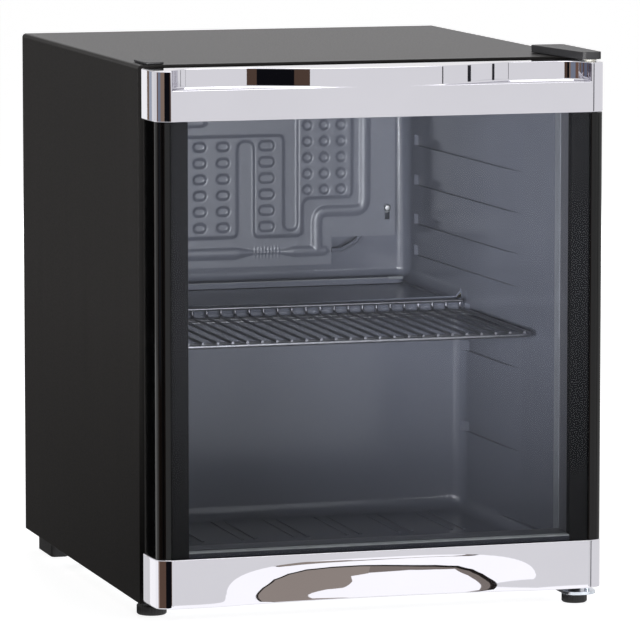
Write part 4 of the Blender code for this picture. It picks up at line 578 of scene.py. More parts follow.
def buildTopRail(rail):
    low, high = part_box("door_top_rail")
    half = high.x
    depth = high.y - low.y
    corner = cornerLine(half, depth, rail)
    pocketSide = corner[0][0] - rail["endRound"]
    endCentre = pocketSide - rail["pocketEnd"]
    pocket = [(rail["crest"] * step / rail["crestSteps"], 0) for step in range(rail["crestSteps"])]
    for step in range(rail["waveSteps"] + 1):
        share = step / rail["waveSteps"]
        wave = 1 - math.cos(math.pi * share ** rail["skew"])
        x = rail["crest"] + (rail["flat"] - rail["crest"]) * share
        pocket.append((x, rail["recessDepth"] * wave / 2))
    for share in rail["flatShares"]:
        pocket.append((rail["flat"] + (endCentre - rail["flat"]) * share, rail["recessDepth"]))
    for turn in quarterTurns(rail["endSteps"]):
        x = endCentre + rail["pocketEnd"] * math.sin(turn)
        pocket.append((x, rail["recessDepth"] - rail["pocketEnd"] * (1 - math.cos(turn))))
    tip = rail["endRound"]
    for turn in quarterTurns(rail["tipSteps"]):
        pocket.append((pocketSide + tip - tip * math.cos(turn), tip - tip * math.sin(turn)))
    outer = bothSides([(x, 0) for x, y in pocket] + corner[1:])
    inner = bothSides(pocket + corner[1:])
    outerOut = outwardNormals(outer)
    innerOut = outwardNormals(inner)
    ledge = high.z - rail["recessHeight"]
    edge = rail["edge"]
    turns = quarterTurns(rail["roundSteps"])
    rows = []

    def addRound(line, normals, size, shares, base, rising):
        # rows of a small round that starts at a level, or ends there
        for turn in turns:
            inward, upward = 1 - math.sin(turn), 1 - math.cos(turn)
            if not rising:
                inward, upward = upward, -inward
            pulls = [size * share * inward for share in shares]
            levels = [base + abs(size) * share * upward for share in shares]
            rows.append([
                (x - out[0] * pull, low.y + y - out[1] * pull, level)
                for (x, y), out, pull, level in zip(line, normals, pulls, levels)
            ])

    whole = [1.0] * len(outer)
    fade = [min(1.0, math.dist(a, b) / rail["fadeDepth"]) for a, b in zip(outer, inner)]
    addRound(outer, outerOut, edge, whole, low.z, True)
    addRound(outer, outerOut, rail["lip"], fade, ledge, False)
    addRound(inner, innerOut, -rail["cove"], fade, ledge, True)
    addRound(inner, innerOut, edge, whole, high.z, False)
    addRail("topRail", "door_top_rail", rows, True)


bottomRail = {
    "crease": 20, "bends": ((0.0105, 28), (0.0075, 85)), "edge": 0.0010, "scoopHalf": 0.1505,
    "scoopHeight": 0.0370, "scoopDepth": 0.0090, "bulge": 0.0200, "squareness": 3.4, "lead": 0.0013,
    "leadShare": 0.45, "levels": 34, "columns": 110, "roundSteps": 4,
}


def scoopDepth(rail, x, rise):
    # a squared ellipsoid sunk in the face, with a crease at its rim and a soft lead-in round it
    offset = rail["bulge"] - rail["scoopDepth"]
    rim = math.sqrt(1 - (offset / rail["bulge"]) ** 2)
    power = rail["squareness"]
    across = abs(x / rail["scoopHalf"]) ** power
    upright = abs(rise / rail["scoopHeight"]) ** power
    spreadOut = (across + upright) ** (1 / power) * rim
    inside = 1 - spreadOut ** 2
    sunk = rail["bulge"] * math.sqrt(inside) - offset if inside > 0 else -offset
    step = rail["lead"] * rail["leadShare"]
    return sunk + step if sunk > 0 else step * math.exp(sunk / rail["lead"])


def buildBottomRail(rail):
    low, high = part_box("door_bottom_rail")
    half = high.x
    depth = high.y - low.y
    corner = cornerLine(half, depth, rail)
    side = corner[0][0]
    edge = rail["edge"]
    line = bothSides([(side * step / rail["columns"], 0) for step in range(rail["columns"])] + corner)
    normals = outwardNormals(line)
    turns = quarterTurns(rail["roundSteps"])
    plan = [(edge * (1 - math.sin(turn)), low.z + edge * (1 - math.cos(turn))) for turn in turns]
    for level in range(1, rail["levels"]):
        plan.append((0.0, low.z + edge + (high.z - low.z - 2 * edge) * level / rail["levels"]))
    plan += [(edge * (1 - math.cos(turn)), high.z - edge * (1 - math.sin(turn))) for turn in turns]
    rows = []
    for inset, level in plan:
        row = []
        for point, normal in zip(line, normals):
            sunk = scoopDepth(rail, point[0], level - low.z) if abs(point[0]) < side else 0.0
            row.append((point[0] - normal[0] * inset, low.y + point[1] - normal[1] * inset + sunk, level))
        rows.append(row)
    addRail("bottomRail", "door_bottom_rail", rows, False)


buildTopRail(topRail)
buildBottomRail(bottomRail)
print("rails made")

stile = {"crease": 8, "bends": ((0.0060, 30), (0.0070, 88)), "frontEdge": 0.0006}


def buildStile(name, node, look):
    low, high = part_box(node)
    side = 1 if high.x > 0 else -1
    inner = min(abs(low.x), abs(high.x))
    outer = max(abs(low.x), abs(high.x))
    edge = look["frontEdge"]
    section = [(inner, high.y), (inner, low.y + edge), (inner + edge, low.y)]
    section += [(x, low.y + y) for x, y in cornerLine(outer, high.y - low.y, look)]
    points = [(side * x, y, z) for z in (low.z, high.z) for x, y in section]
    mesh = meshFrom(name, points, prismFaces(len(section)))
    piece = newPiece(name, mesh, "stileGloss", "door", [node])
    addWeightedNormals(piece)


buildStile("stileLeft", "door_stile_left", stile)
buildStile("stileRight", "door_stile_right", stile)
print("stiles made")

shelf = {
    "wire": 0.0020, "rib": 0.0014, "cross": 0.0017, "weld": 0.0008, "ribs": 25, "ribInset": 0.0082,
    "corner": 0.0100, "lipRise": 0.0085, "crosses": (0.07, 0.90), "bendShare": 3, "cornerSteps": 8,
    "bendSteps": 6,
}


def buildShelf(look):
    low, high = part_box("wire_shelf")
    wire = look["wire"]
    half = high.x - wire
    front = low.y + wire
    rear = high.y - wire
    level = low.z + wire
    loop = []
    radius = look["corner"]
    for cx, cy, start in (
        (half - radius, rear - radius, 0), (-half + radius, rear - radius, 90),
        (-half + radius, front + radius, 180), (half - radius, front + radius, 270),
    ):
        for step in range(look["cornerSteps"] + 1):
            turn = math.radians(start + 90 * step / look["cornerSteps"])
            loop.append((cx + radius * math.cos(turn), cy + radius * math.sin(turn), level))
    wires = [{"path": loop, "radius": wire, "closed": True}]
    for share in look["crosses"]:
        y = front + (rear - front) * share
        wires.append({"path": [(-half, y, level), (half, y, level)], "radius": look["cross"]})
    ribLevel = level + wire + look["rib"] - look["weld"]
    lipLevel = ribLevel + look["lipRise"]
    ribHalf = half - look["ribInset"]
    bend = look["bendShare"] * look["rib"]
    ribs = []
    for index in range(look["ribs"]):
        x = -ribHalf + 2 * ribHalf * index / (look["ribs"] - 1)
        path = [(x, front - wire / 2, ribLevel)]
        for turn in quarterTurns(look["bendSteps"]):
            path.append((x, rear - bend + bend * math.sin(turn), ribLevel + bend - bend * math.cos(turn)))
        path.append((x, rear, lipLevel))
        ribs.append({"path": path, "radius": look["rib"]})
    lipY = rear - look["cross"] - look["rib"] + look["weld"]
    reach = ribHalf + look["rib"]
    wires.append({"path": [(-reach, lipY, lipLevel), (reach, lipY, lipLevel)], "radius": look["cross"]})
    rimMesh = wireMesh("wireShelf", wires)
    newPiece("wireShelf", rimMesh, "wireChrome", "shelf", ["wire_shelf"])
    # the ribs wear the darker wire finish, which is painted shade
    newPiece("shelfRibs", wireMesh("shelfRibs", ribs), "shadedRibWire", "shelf")


buildShelf(shelf)
print("shelf made")

# the cabinet's bent top corners, smooth where the CAD has flats
shellCorner = {"radius": 0.00402, "depth": 0.0003, "reach": 0.0040, "steps": 12}


def buildShellCorner(name, side, look):
    low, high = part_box("cabinet_shell")
    section = []
    for radius, order in ((look["radius"], 1), (look["radius"] - look["depth"], -1)):
        turns = quarterTurns(look["steps"])[::order]
        section += [(radius * math.cos(turn), radius * math.sin(turn)) for turn in turns]
    centre = (high.x - look["reach"], high.z - look["reach"])
    points = [(side * (centre[0] + x), y, centre[1] + z) for y in (low.y, high.y) for x, z in section]
    mesh = meshFrom(name, points, prismFaces(len(section)))
    newPiece(name, mesh, "blackEnamel", "cabinet")


buildShellCorner("shellCornerLeft", -1, shellCorner)
buildShellCorner("shellCornerRight", 1, shellCorner)
print("shell corners made")

# ribbed feet, from the chamfer on the floor up to the crown and the stem
feet = {
    "front_foot_left": {"name": "ribbedFootLeft", "body": "left_front_foot", "radius": 0.0140},
    "front_foot_right": {"name": "ribbedFootRight", "body": "right_front_foot", "radius": 0.0120},
}
footShape = {
    "foot": 0.0012, "top": 0.0096, "crown": 0.0012, "stem": 0.0034, "ribs": 32, "ribDepth": 0.00045,
    "crownRibs": 0.4, "sides": 160,
}


def buildFoot(node, look, shape):
    low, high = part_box(node)
    centre = (low + high) / 2
    wide = look["radius"]
    # height, radius and share of the ribs' depth
    rings = [
        (0.0, wide - shape["foot"], 0.0),
        (shape["foot"], wide, 1.0),
        (shape["top"] - shape["crown"], wide, 1.0),
        (shape["top"], wide - shape["crown"], shape["crownRibs"]),
        (shape["top"], shape["stem"], 0.0),
        (high.z - low.z, shape["stem"], 0.0),
    ]
    sides = shape["sides"]
    points = []
    for level, radius, share in rings:
        for side in range(sides):
            turn = 2 * math.pi * side / sides
            rib = shape["ribDepth"] * share * (0.5 - 0.5 * math.cos(shape["ribs"] * turn))
            reach = radius - rib
            x = centre.x + reach * math.cos(turn)
            y = centre.y + reach * math.sin(turn)
            points.append((x, y, low.z + level))
    mesh = meshFrom(look["name"], points, ringFaces(len(rings), sides))
    newPiece(look["name"], mesh, "footRubber", look["body"], [node])


for node, look in feet.items():
    buildFoot(node, look, footShape)
print("feet made")

# what the panes show low down: the bar between them with its bright upper edge, and the frame's sill behind
doorSill = {
    "spacerBar": {
        "low": (-0.1832, -0.2527, 0.0635), "high": (0.1832, -0.2441, 0.0677), "finish": "spacerBlack",
    },
    "spacerEdge": {
        "low": (-0.1832, -0.2527, 0.0677), "high": (0.1832, -0.2441, 0.0689), "finish": "spacerBright",
    },
    "frameSill": {
        "low": (-0.1863, -0.2389, 0.0640), "high": (0.1863, -0.2134, 0.0686), "finish": "frameGrey",
    },
}


def boxMesh(name, low, high):
    points = [(x, y, z) for z in (low[2], high[2]) for y in (low[1], high[1]) for x in (low[0], high[0])]
    faces = [(0, 1, 3, 2), (4, 5, 7, 6), (0, 1, 5, 4), (2, 3, 7, 6), (0, 2, 6, 4), (1, 3, 7, 5)]
    return meshFrom(name, points, faces)


for name, look in doorSill.items():
    newPiece(name, boxMesh(name, look["low"], look["high"]), look["finish"], "door")
print("door sill made")

gutterBead = {"radius": 0.0008, "end": 0.0017, "endLength": 0.0150, "inset": 0.0030}


def buildGutterBead(look):
    # rolled rim along the gutter's front, with a thicker end
    low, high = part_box("drip_gutter")
    stop = high.x - look["inset"]
    split = stop - look["endLength"]
    wires = []
    for start, end, radius in ((-stop, split, look["radius"]), (split, stop, look["end"])):
        path = [(x, low.y + look["radius"], high.z) for x in (start, end)]
        wires.append({"path": path, "radius": radius})
    newPiece("gutterBead", wireMesh("gutterBead", wires), "greyMoulding", "cabinet")


buildGutterBead(gutterBead)
print("gutter bead made")

# roll-bond plate: soft inflated panels and channels, measured from its right edge, lower edge and top
plate = {
    "thickness": 0.0015, "inflation": 0.0016, "easeEdge": 0.0038, "corner": 0.0080, "pitch": 0.0011,
    "tabInset": 0.0668, "tabDrop": 0.0274, "screwInset": 0.0081, "screwRise": 0.0279, "holeHalf": 0.0025,
    "holeDrop": 0.0114,
    "panels": {
        "baseRise": 0.0006, "combDrop": 0.0523, "topDrop": 0.0060, "fingerInset": 0.0829,
        "fingerWidth": 0.0135, "fingerDrop": 0.0090, "slitInset": 0.0483, "slitWidth": 0.0108,
        "slitRise": 0.0095, "neckInset": 0.0287, "roundRise": 0.0382, "roundInset": 0.0435,
        "leftInset": 0.0300, "headerInset": 0.0453, "headerRise": 0.0070,
    },
    "dimples": {
        "rim": 0.0030, "pitch": 0.0162, "rows": 6, "firstDrop": 0.0120, "columns": 5, "firstInset": 0.0166,
        "columnPitch": 0.0241, "leftMargin": 0.0150, "oval": (0.0094, 0.0054), "wideInset": 0.0150,
        "wideOval": (0.0124, 0.0058), "round": (0.0058, 0.0058), "roundColumns": 3, "roundInset": 0.0033,
        "roundPitch": 0.0175, "roundRise": 0.0102, "roundMargin": 0.0064,
    },
    "channels": {
        "pipeRadius": 0.0053, "pipeInset": 0.0319, "jogRise": 0.0265, "jogInset": 0.0152, "bendSteps": 6,
        "crown": 0.8, "headerRadius": 0.0050, "headerRise": 0.0140, "headerEnd": 0.0070, "endInset": 0.0003,
        "widths": (1.15, 1.15, 0.36, 0.36, 1.08, 0.85), "throatLeft": 0.0814, "throatRight": 0.0535,
        "leftTaper": 0.0180, "rightTaper": 0.0150, "fins": 8, "finRise": 0.0004, "finWidth": 0.0007,
        "finReach": 0.0042, "finFade": 1.6, "gridLeft": 0.0830, "gridPitch": 0.00055, "gridLines": 57,
    },
}


def roundedOutline(corners, radius, steps=5):
    # corner points of an outline, each replaced by a short arc
    points = []
    count = len(corners)
    for index in range(count):
        here = Vector(corners[index])
        before = Vector(corners[index - 1]) - here
        after = Vector(corners[(index + 1) % count]) - here
        reach = min(radius, before.length / 2, after.length / 2)
        start = here + before.normalized() * reach
        end = here + after.normalized() * reach
        for step in range(steps + 1):
            share = step / steps
            bend = start * (1 - share) ** 2 + here * 2 * share * (1 - share) + end * share ** 2
            points.append(tuple(bend))
    return points


def distanceToLine(x, z, points, closed):
    # distance of grid points from a line, and whether they lie inside it
    nearest = numpy.full(x.shape, numpy.inf)
    inside = numpy.zeros(x.shape, bool)
    pairs = list(zip(points, points[1:]))
    if closed:
        pairs.append((points[-1], points[0]))
    for (ax, az), (bx, bz) in pairs:
        length = (bx - ax) ** 2 + (bz - az) ** 2
        if length < 1e-14:
            continue
        along = numpy.clip(((x - ax) * (bx - ax) + (z - az) * (bz - az)) / length, 0, 1)
        nearest = numpy.minimum(nearest, numpy.hypot(x - ax - along * (bx - ax), z - az - along * (bz - az)))
        if abs(bz - az) > 1e-12:
            crosses = ((az > z) != (bz > z)) & (x < (bx - ax) * (z - az) / (bz - az) + ax)
            inside ^= crosses
    return nearest, inside


def ease(value):
    value = numpy.clip(value, 0, 1)
    return value * value * (3 - 2 * value)


def plateRelief(look, x, z, right, top, low, tab):
    # height of the plate's face over its flat sheet
    panel = look["panels"]
    base = low + panel["baseRise"]
    combTop = top - panel["combDrop"]
    panelTop = top - panel["topDrop"]
    fingerRight = tab - panel["fingerInset"]
    fingerLeft = fingerRight - panel["fingerWidth"]
    fingerRoot = combTop - panel["fingerDrop"]
    slitLeft = tab - panel["slitInset"]
    slitRight = slitLeft + panel["slitWidth"]
    slitLow = base + panel["slitRise"]
    neck = tab - panel["neckInset"]
    roundBase = low + panel["roundRise"]
    roundRight = right - panel["roundInset"]
    combLeft = -right + panel["leftInset"]
    comb = roundedOutline([
        (combLeft, combTop), (combLeft, base), (fingerLeft, base), (fingerLeft, fingerRoot),
        (fingerRight, fingerRoot), (fingerRight, base), (neck, base), (neck, roundBase),
        (roundRight, roundBase), (roundRight, panelTop), (slitRight, panelTop), (slitRight, slitLow),
        (slitLeft, slitLow), (slitLeft, combTop),
    ], look["corner"])
    headerRight = fingerRight - panel["headerInset"]
    headerLow = combTop + panel["headerRise"]
    header = roundedOutline([
        (combLeft, headerLow), (headerRight, headerLow), (headerRight, panelTop), (combLeft, panelTop),
    ], look["corner"])
    relief = numpy.zeros(x.shape)
    for outline in (comb, header):
        nearest, inside = distanceToLine(x, z, outline, True)
        relief = numpy.maximum(relief, numpy.where(inside, ease(nearest / look["easeEdge"]), 0))

    # places where the two sheets stay bonded
    dimple = look["dimples"]
    rows = [combTop - dimple["firstDrop"] - dimple["pitch"] * row for row in range(dimple["rows"])]
    spots = []
    for column in range(dimple["columns"]):
        cx = fingerLeft - dimple["firstInset"] - dimple["columnPitch"] * column
        if cx > combLeft + dimple["leftMargin"]:
            spots += [(cx, cz, dimple["oval"]) for cz in rows]
    spots += [(fingerRight + dimple["wideInset"], cz, dimple["wideOval"]) for cz in rows]
    cz = roundBase + dimple["roundRise"]
    while cz < panelTop - dimple["roundMargin"]:
        for column in range(dimple["roundColumns"]):
            spots.append((neck + dimple["roundInset"] + dimple["roundPitch"] * column, cz, dimple["round"]))
        cz += dimple["pitch"]
    for cx, cz, (width, height) in spots:
        over = numpy.maximum(numpy.abs(x - cx) - (width - height) / 2, 0)
        relief *= ease((numpy.hypot(over, z - cz) - height / 2) / dimple["rim"])

    # the pipe that comes down beside the panels, and the header along the lower edge
    channel = look["channels"]
    headerLevel = low - look["tabDrop"] + channel["headerRise"]
    pipeX = right - channel["pipeInset"]
    jogX = tab - channel["jogInset"]
    jogLevel = low + channel["jogRise"]
    drop = [(pipeX, top), (pipeX, jogLevel), (jogX, jogLevel), (jogX, headerLevel)]
    path = [drop[0]]
    arc = channel["bendSteps"] + 1
    for corner in zip(drop, drop[1:], drop[2:]):
        path += roundedOutline(corner, 2 * channel["pipeRadius"], channel["bendSteps"])[arc:2 * arc]
    path.append(drop[-1])
    nearest = distanceToLine(x, z, path, False)[0]
    pipe = numpy.clip(1 - (nearest / channel["pipeRadius"]) ** 2, 0, 1) ** channel["crown"]
    throatLeft = tab - channel["throatLeft"]
    throatRight = tab - channel["throatRight"]
    stations = [
        combLeft, throatLeft - channel["leftTaper"], throatLeft, throatRight,
        throatRight + channel["rightTaper"], tab - channel["endInset"],
    ]
    widths = numpy.interp(x, stations, channel["widths"])
    past = numpy.maximum(x - tab + channel["headerEnd"], 0)
    reach = numpy.hypot(z - headerLevel, past) / (channel["headerRadius"] * widths)
    bulge = numpy.clip(1 - reach ** 2, 0, 1) ** channel["crown"] * numpy.minimum(1, widths)
    bulge = numpy.where(x > combLeft, bulge, 0)
    relief = numpy.maximum(relief, numpy.maximum(pipe, bulge)) * look["inflation"]
    fade = ease(channel["finFade"] - numpy.abs(z - headerLevel) / channel["finReach"])
    for fin in range(channel["fins"]):
        place = throatLeft + (throatRight - throatLeft) * (fin + 0.5) / channel["fins"]
        relief += channel["finRise"] * numpy.exp(-((x - place) / channel["finWidth"]) ** 2) * fade
    return relief


def gridLines(marks, pitch):
    marks = sorted(marks)
    lines = [marks[0]]
    for start, end in zip(marks, marks[1:]):
        steps = max(1, round((end - start) / pitch))
        lines += [start + (end - start) * (step + 1) / steps for step in range(steps)]
    return lines


def buildPlate(look):
    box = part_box("evaporator_plate")
    right = box[1].x
    top = box[1].z
    tabLow = box[0].z
    low = tabLow + look["tabDrop"]
    tab = right - look["tabInset"]
    middle = (box[0].y + box[1].y) / 2
    front = middle - look["thickness"] / 2
    holeX = right - look["screwInset"]
    holeTop = low + look["screwRise"] + look["holeHalf"]
    holeLow = low + look["screwRise"] - look["holeDrop"]
    half = look["holeHalf"]
    channel = look["channels"]
    throatStart = tab - channel["gridLeft"]
    throat = [throatStart + channel["gridPitch"] * step for step in range(channel["gridLines"])]
    marks = [-right, right, tab, -holeX - half, -holeX + half, holeX - half, holeX + half] + throat
    columns = gridLines(marks, look["pitch"])
    levels = gridLines([tabLow, low, holeLow, holeTop, top], look["pitch"])
    x, z = numpy.meshgrid(numpy.array(columns), numpy.array(levels))
    relief = plateRelief(look, x, z, right, top, low, tab)
    shape = bmesh.new()
    spots = {}

    def spot(level, column):
        key = (level, column)
        if key not in spots:
            spots[key] = shape.verts.new((columns[column], front - relief[level, column], levels[level]))
        return spots[key]

    for level in range(len(levels) - 1):
        height = (levels[level] + levels[level + 1]) / 2
        for column in range(len(columns) - 1):
            across = (columns[column] + columns[column + 1]) / 2
            if across > tab and height < low:
                continue
            if abs(abs(across) - holeX) < half and holeLow < height < holeTop:
                continue
            corners = [(level, column), (level, column + 1), (level + 1, column + 1), (level + 1, column)]
            shape.faces.new([spot(*corner) for corner in corners])
    rim = [edge for edge in shape.edges if len(edge.link_faces) == 1]
    made = bmesh.ops.extrude_edge_only(shape, edges=rim)["geom"]
    for item in made:
        if isinstance(item, bmesh.types.BMVert):
            item.co.y = front + look["thickness"]
    back = [item for item in made if isinstance(item, bmesh.types.BMEdge) and len(item.link_faces) == 1]
    bmesh.ops.triangle_fill(shape, edges=back, normal=(0, 1, 0))
    # the fill has no fixed order, so the faces are put in one
    ordered = sorted(shape.faces, key=lambda face: tuple(face.calc_center_median()))
    for index, face in enumerate(ordered):
        face.index = index
    shape.faces.sort(key=lambda face: face.index)
    bmesh.ops.recalc_face_normals(shape, faces=shape.faces)
    mesh = takeMesh(shape, "rollBondPlate")
    softenMesh(mesh, crispAngles["plate"])
    newPiece("rollBondPlate", mesh, "plateLacquer", "cabinet", ["evaporator_plate"])


buildPlate(plate)
print("plate made")


# studio: pale floor, soft lamps, and cards that only mirror-like surfaces see
studio = {
    "floorHalf": 14.0, "floorColour": (0.48, 0.48, 0.48), "floorRoughness": 0.9, "floorSpecular": 0.1,
    "floorGlow": 0.86, "ambient": 0.21, "backdrop": 1.0,
}


def hideFrom(item, *kinds):
    for kind in kinds:
        setattr(item, "visible_" + kind, False)


def addStage(name, mesh, material):
    item = bpy.data.objects.new(name, mesh)
    mesh.materials.append(material)
    scene.collection.objects.link(item)
    return item


def makeFloorFinish(look):
    material, tree, shader = newMaterial("paleFloor")
    setInputs(shader, {
        "Base Color": (*look["floorColour"], 1), "Roughness": look["floorRoughness"],
        "Specular IOR Level": look["floorSpecular"], "Emission Color": (1, 1, 1, 1),
    })
    rays = addNode(tree, "ShaderNodeLightPath")
    glow = addNode(tree, "ShaderNodeMath", {1: look["floorGlow"]}, operation="MULTIPLY")
    tree.links.new(rays.outputs["Is Camera Ray"], glow.inputs[0])
    tree.links.new(glow.outputs["Value"], shader.inputs["Emission Strength"])
    return material


def planeMesh(name, corners):
    return plainMesh(name, corners, [tuple(range(len(corners)))])


def buildStudio(look):
    reach = look["floorHalf"]
    corners = [(-reach, -reach, 0), (reach, -reach, 0), (reach, reach, 0), (-reach, reach, 0)]
    floor = addStage("studioFloor", planeMesh("studioFloor", corners), makeFloorFinish(look))
    hideFrom(floor, "glossy")
    world = bpy.data.worlds.new("studioWorld")
    world.use_nodes = True
    tree = world.node_tree
    sky = tree.nodes["Background"]
    setInputs(sky, {"Color": (1, 1, 1, 1)})
    rays = addNode(tree, "ShaderNodeLightPath")
    total = rays.outputs["Is Camera Ray"]
    for kind in ("Is Glossy Ray", "Is Transmission Ray"):
        more = addNode(tree, "ShaderNodeMath", operation="MAXIMUM")
        tree.links.new(total, more.inputs[0])
        tree.links.new(rays.outputs[kind], more.inputs[1])
        total = more.outputs["Value"]
    limits = {"To Min": look["ambient"], "To Max": look["backdrop"]}
    strength = addNode(tree, "ShaderNodeMapRange", limits)
    tree.links.new(total, strength.inputs["Value"])
    tree.links.new(strength.outputs["Result"], sky.inputs["Strength"])
    scene.world = world


# the chrome and gloss trim mirrors cards, so the lamps that face the door leave it out
lamps = {
    "frontLamp": {
        "place": (-0.3, -3.4, 0.42), "aim": (0, 0, 0.36), "size": (1.4, 0.4), "power": 92, "spares": True,
    },
    "leftLamp": {
        "place": (-2.3, -2.6, 0.48), "aim": (0.1, 0.1, 0.36), "size": (1.8, 0.5), "power": 146,
        "spares": True,
    },
    "topLamp": {"place": (0.2, -0.3, 2.8), "aim": (0, 0, 0.2), "size": (1.6, 1.6), "power": 30},
    "rearLamp": {
        "place": (0.9, 3.3, 1.3), "aim": (0, 0.2, 0.2), "size": (1.4, 1.0), "power": 60, "mirrored": False,
    },
}


def linkGroup(name, pieces, linkState):
    group = bpy.data.collections.new(name)
    for piece in pieces:
        group.objects.link(bpy.data.objects[piece])
    for item in group.collection_objects:
        item.light_linking.link_state = linkState
    return group


def addLamp(name, look):
    data = bpy.data.lights.new(name, "AREA")
    data.shape = "RECTANGLE"
    data.size, data.size_y = look["size"]
    data.energy = look["power"]
    lamp = bpy.data.objects.new(name, data)
    lamp.location = look["place"]
    toward = Vector(look["aim"]) - Vector(look["place"])
    lamp.rotation_euler = toward.to_track_quat("-Z", "Y").to_euler()
    hideFrom(lamp, "camera")
    lamp.visible_glossy = look.get("mirrored", True)
    if look.get("spares"):
        lamp.light_linking.receiver_collection = spared
    scene.collection.objects.link(lamp)


# the door's front stands at y -0.26; these lie on the floor before it, one over another, the first on top
cardLift = 0.0005
cards = {
    # a dark strip on the floor close before the door: painted shadow of the door, which the chrome scoop
    # mirrors as its dark rim
    "scoopEdge": {
        "outline": [
            (-0.0645, -0.378), (-0.0645, -0.364), (-0.0702, -0.339), (-0.0728, -0.313), (-0.0665, -0.2992),
            (-0.0535, -0.2905), (-0.031, -0.287), (-0.004, -0.2865), (0.020, -0.2885), (0.045, -0.2915),
            (0.068, -0.295), (0.088, -0.301), (0.101, -0.314), (0.1105, -0.332), (0.1195, -0.356),
            (0.128, -0.378), (0.1325, -0.378), (0.123, -0.354), (0.114, -0.330), (0.104, -0.311),
            (0.090, -0.298), (0.069, -0.292), (0.045, -0.289), (0.020, -0.286), (-0.004, -0.284),
            (-0.031, -0.2845), (-0.054, -0.288), (-0.068, -0.297), (-0.075, -0.312), (-0.072, -0.339),
            (-0.066, -0.364), (-0.066, -0.378),
        ],
        "colour": (0.020, 0.017, 0.015),
    },
    "brownLeft": {
        "outline": [
            (-0.0655, -0.378), (-0.034, -0.378), (-0.030, -0.361), (-0.021, -0.334), (-0.011, -0.322),
            (-0.007, -0.309), (-0.010, -0.302), (0.006, -0.299), (0.006, -0.286), (-0.004, -0.2845),
            (-0.031, -0.285), (-0.054, -0.289), (-0.068, -0.298), (-0.0745, -0.312), (-0.0715, -0.339),
            (-0.0655, -0.364),
        ],
        "colour": (0.40, 0.345, 0.30),
    },
    "brownBand": {
        "outline": [
            (0.004, -0.299), (0.046, -0.298), (0.070, -0.301), (0.088, -0.305), (0.102, -0.329),
            (0.111, -0.352), (0.118, -0.371), (0.121, -0.378), (0.130, -0.378), (0.121, -0.354),
            (0.112, -0.330), (0.102, -0.312), (0.089, -0.299), (0.069, -0.293), (0.045, -0.290),
            (0.004, -0.2855),
        ],
        "colour": (0.28, 0.24, 0.212),
    },
    "whiteBand": {
        "outline": [(-0.24, -0.376), (0.25, -0.376), (0.25, -0.262), (-0.24, -0.262)],
        "colour": (1.5, 1.5, 1.5),
    },
}

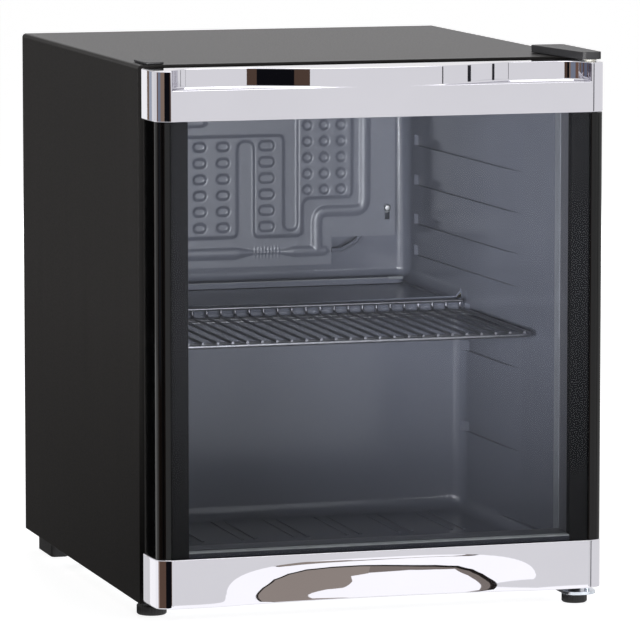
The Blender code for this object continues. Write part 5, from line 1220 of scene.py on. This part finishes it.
# upright panels round the object, by height and by the bearing at which they start and end; only mirror-like
# surfaces see them, and the last ones light the rails or the whole trim alone
panels = {
    "reach": 3.2,
    "spans": {"all": (-1.2, 2.6), "near": (-1.2, 0.7), "upper": (-0.15, 0.7), "lower": (-1.2, -0.15)},
    "list": [
        ("brownNear", "near", -26, -14.7, (0.105, 0.066, 0.048), None),
        ("blackLeft", "near", -34.8, -26, (0.006, 0.006, 0.008), None),
        ("tanLeft", "upper", -40.4, -34.8, (0.30, 0.22, 0.17), None),
        ("blueGrey", "upper", -62.2, -40.4, (0.24, 0.27, 0.34), None),
        ("brownFar", "upper", -77.7, -62.2, (0.20, 0.12, 0.09), None),
        ("blueFar", "upper", -153.5, -151.2, (0.46, 0.50, 0.58), None),
        ("brownRear", "upper", -155.2, -153.5, (0.21, 0.15, 0.11), None),
        ("brownLow", "lower", -62.2, -34.8, (0.14, 0.085, 0.062), None),
        ("tanLow", "lower", -80, -62.2, (0.42, 0.32, 0.27), None),
        ("sideFlag", "all", -178, -160.4, (0.21, 0.200, 0.196), None),
        ("topGrey", "all", 140, 180, (0.92, 0.91, 0.92), None),
        ("strokeRight", "near", 58.2, 60.6, (0.03, 0.03, 0.035), None),
        ("strokeNear", "near", 34.7, 35.7, (0.03, 0.03, 0.035), None),
        ("whiteFar", "upper", -151.2, -77.7, (0.95, 0.95, 0.95), "trim"),
        ("whiteFarLow", "lower", -154.5, -80, (1.3, 1.3, 1.3), "trim"),
        ("whiteRear", "upper", -160.4, -155.2, (1.2, 1.2, 1.2), "rails"),
        ("greyRearLow", "lower", -160.4, -154.5, (0.85, 0.85, 0.85), "rails"),
    ],
}


def panelMesh(name, reach, span, start, end, facet=8):
    # a strip of upright faces along an arc, each about as many degrees wide as the facet
    steps = max(1, round((end - start) / facet))
    points = []
    for step in range(steps + 1):
        turn = math.radians(start + (end - start) * step / steps)
        for level in span:
            points.append((reach * math.sin(turn), -reach * math.cos(turn), level))
    faces = [(2 * step, 2 * step + 2, 2 * step + 3, 2 * step + 1) for step in range(steps)]
    return plainMesh(name, points, faces)


def addCard(name, mesh, colour, lit=None):
    material, tree, shader = newMaterial(name)
    tree.nodes.remove(shader)
    glow = addNode(tree, "ShaderNodeEmission", {"Color": (*colour, 1), "Strength": 1.0})
    tree.links.new(glow.outputs["Emission"], tree.nodes["Material Output"].inputs["Surface"])
    card = addStage(name, mesh, material)
    hideFrom(card, "camera", "diffuse", "transmission", "shadow")
    if lit:
        card.light_linking.receiver_collection = lit


flag = {"reach": 1.3, "span": (-0.05, 0.26), "start": -75, "end": 25}


def addFlag(look):
    # keeps the low lamps off the lower half of the cavity; only their light meets it
    mesh = panelMesh("lampFlag", look["reach"], look["span"], look["start"], look["end"])
    item = addStage("lampFlag", mesh, newMaterial("lampFlag")[0])
    hideFrom(item, "camera", "diffuse", "glossy", "transmission")


buildStudio(studio)
rails = ("topRail", "bottomRail")
trim = (*rails, "stileLeft", "stileRight")
spared = linkGroup("sparedTrim", trim, "EXCLUDE")
litGroups = {"rails": linkGroup("litRails", rails, "INCLUDE"), "trim": linkGroup("litTrim", trim, "INCLUDE")}
for name, look in lamps.items():
    addLamp(name, look)
for level, (name, look) in enumerate(reversed(cards.items())):
    corners = [(x, y, cardLift * (level + 1)) for x, y in look["outline"]]
    addCard(name, planeMesh(name, corners), look["colour"])
for name, span, start, end, colour, lit in panels["list"]:
    mesh = panelMesh(name, panels["reach"], panels["spans"][span], start, end)
    addCard(name, mesh, colour, litGroups.get(lit))
addFlag(flag)
scene.view_settings.view_transform = "Standard"
print("studio lit")
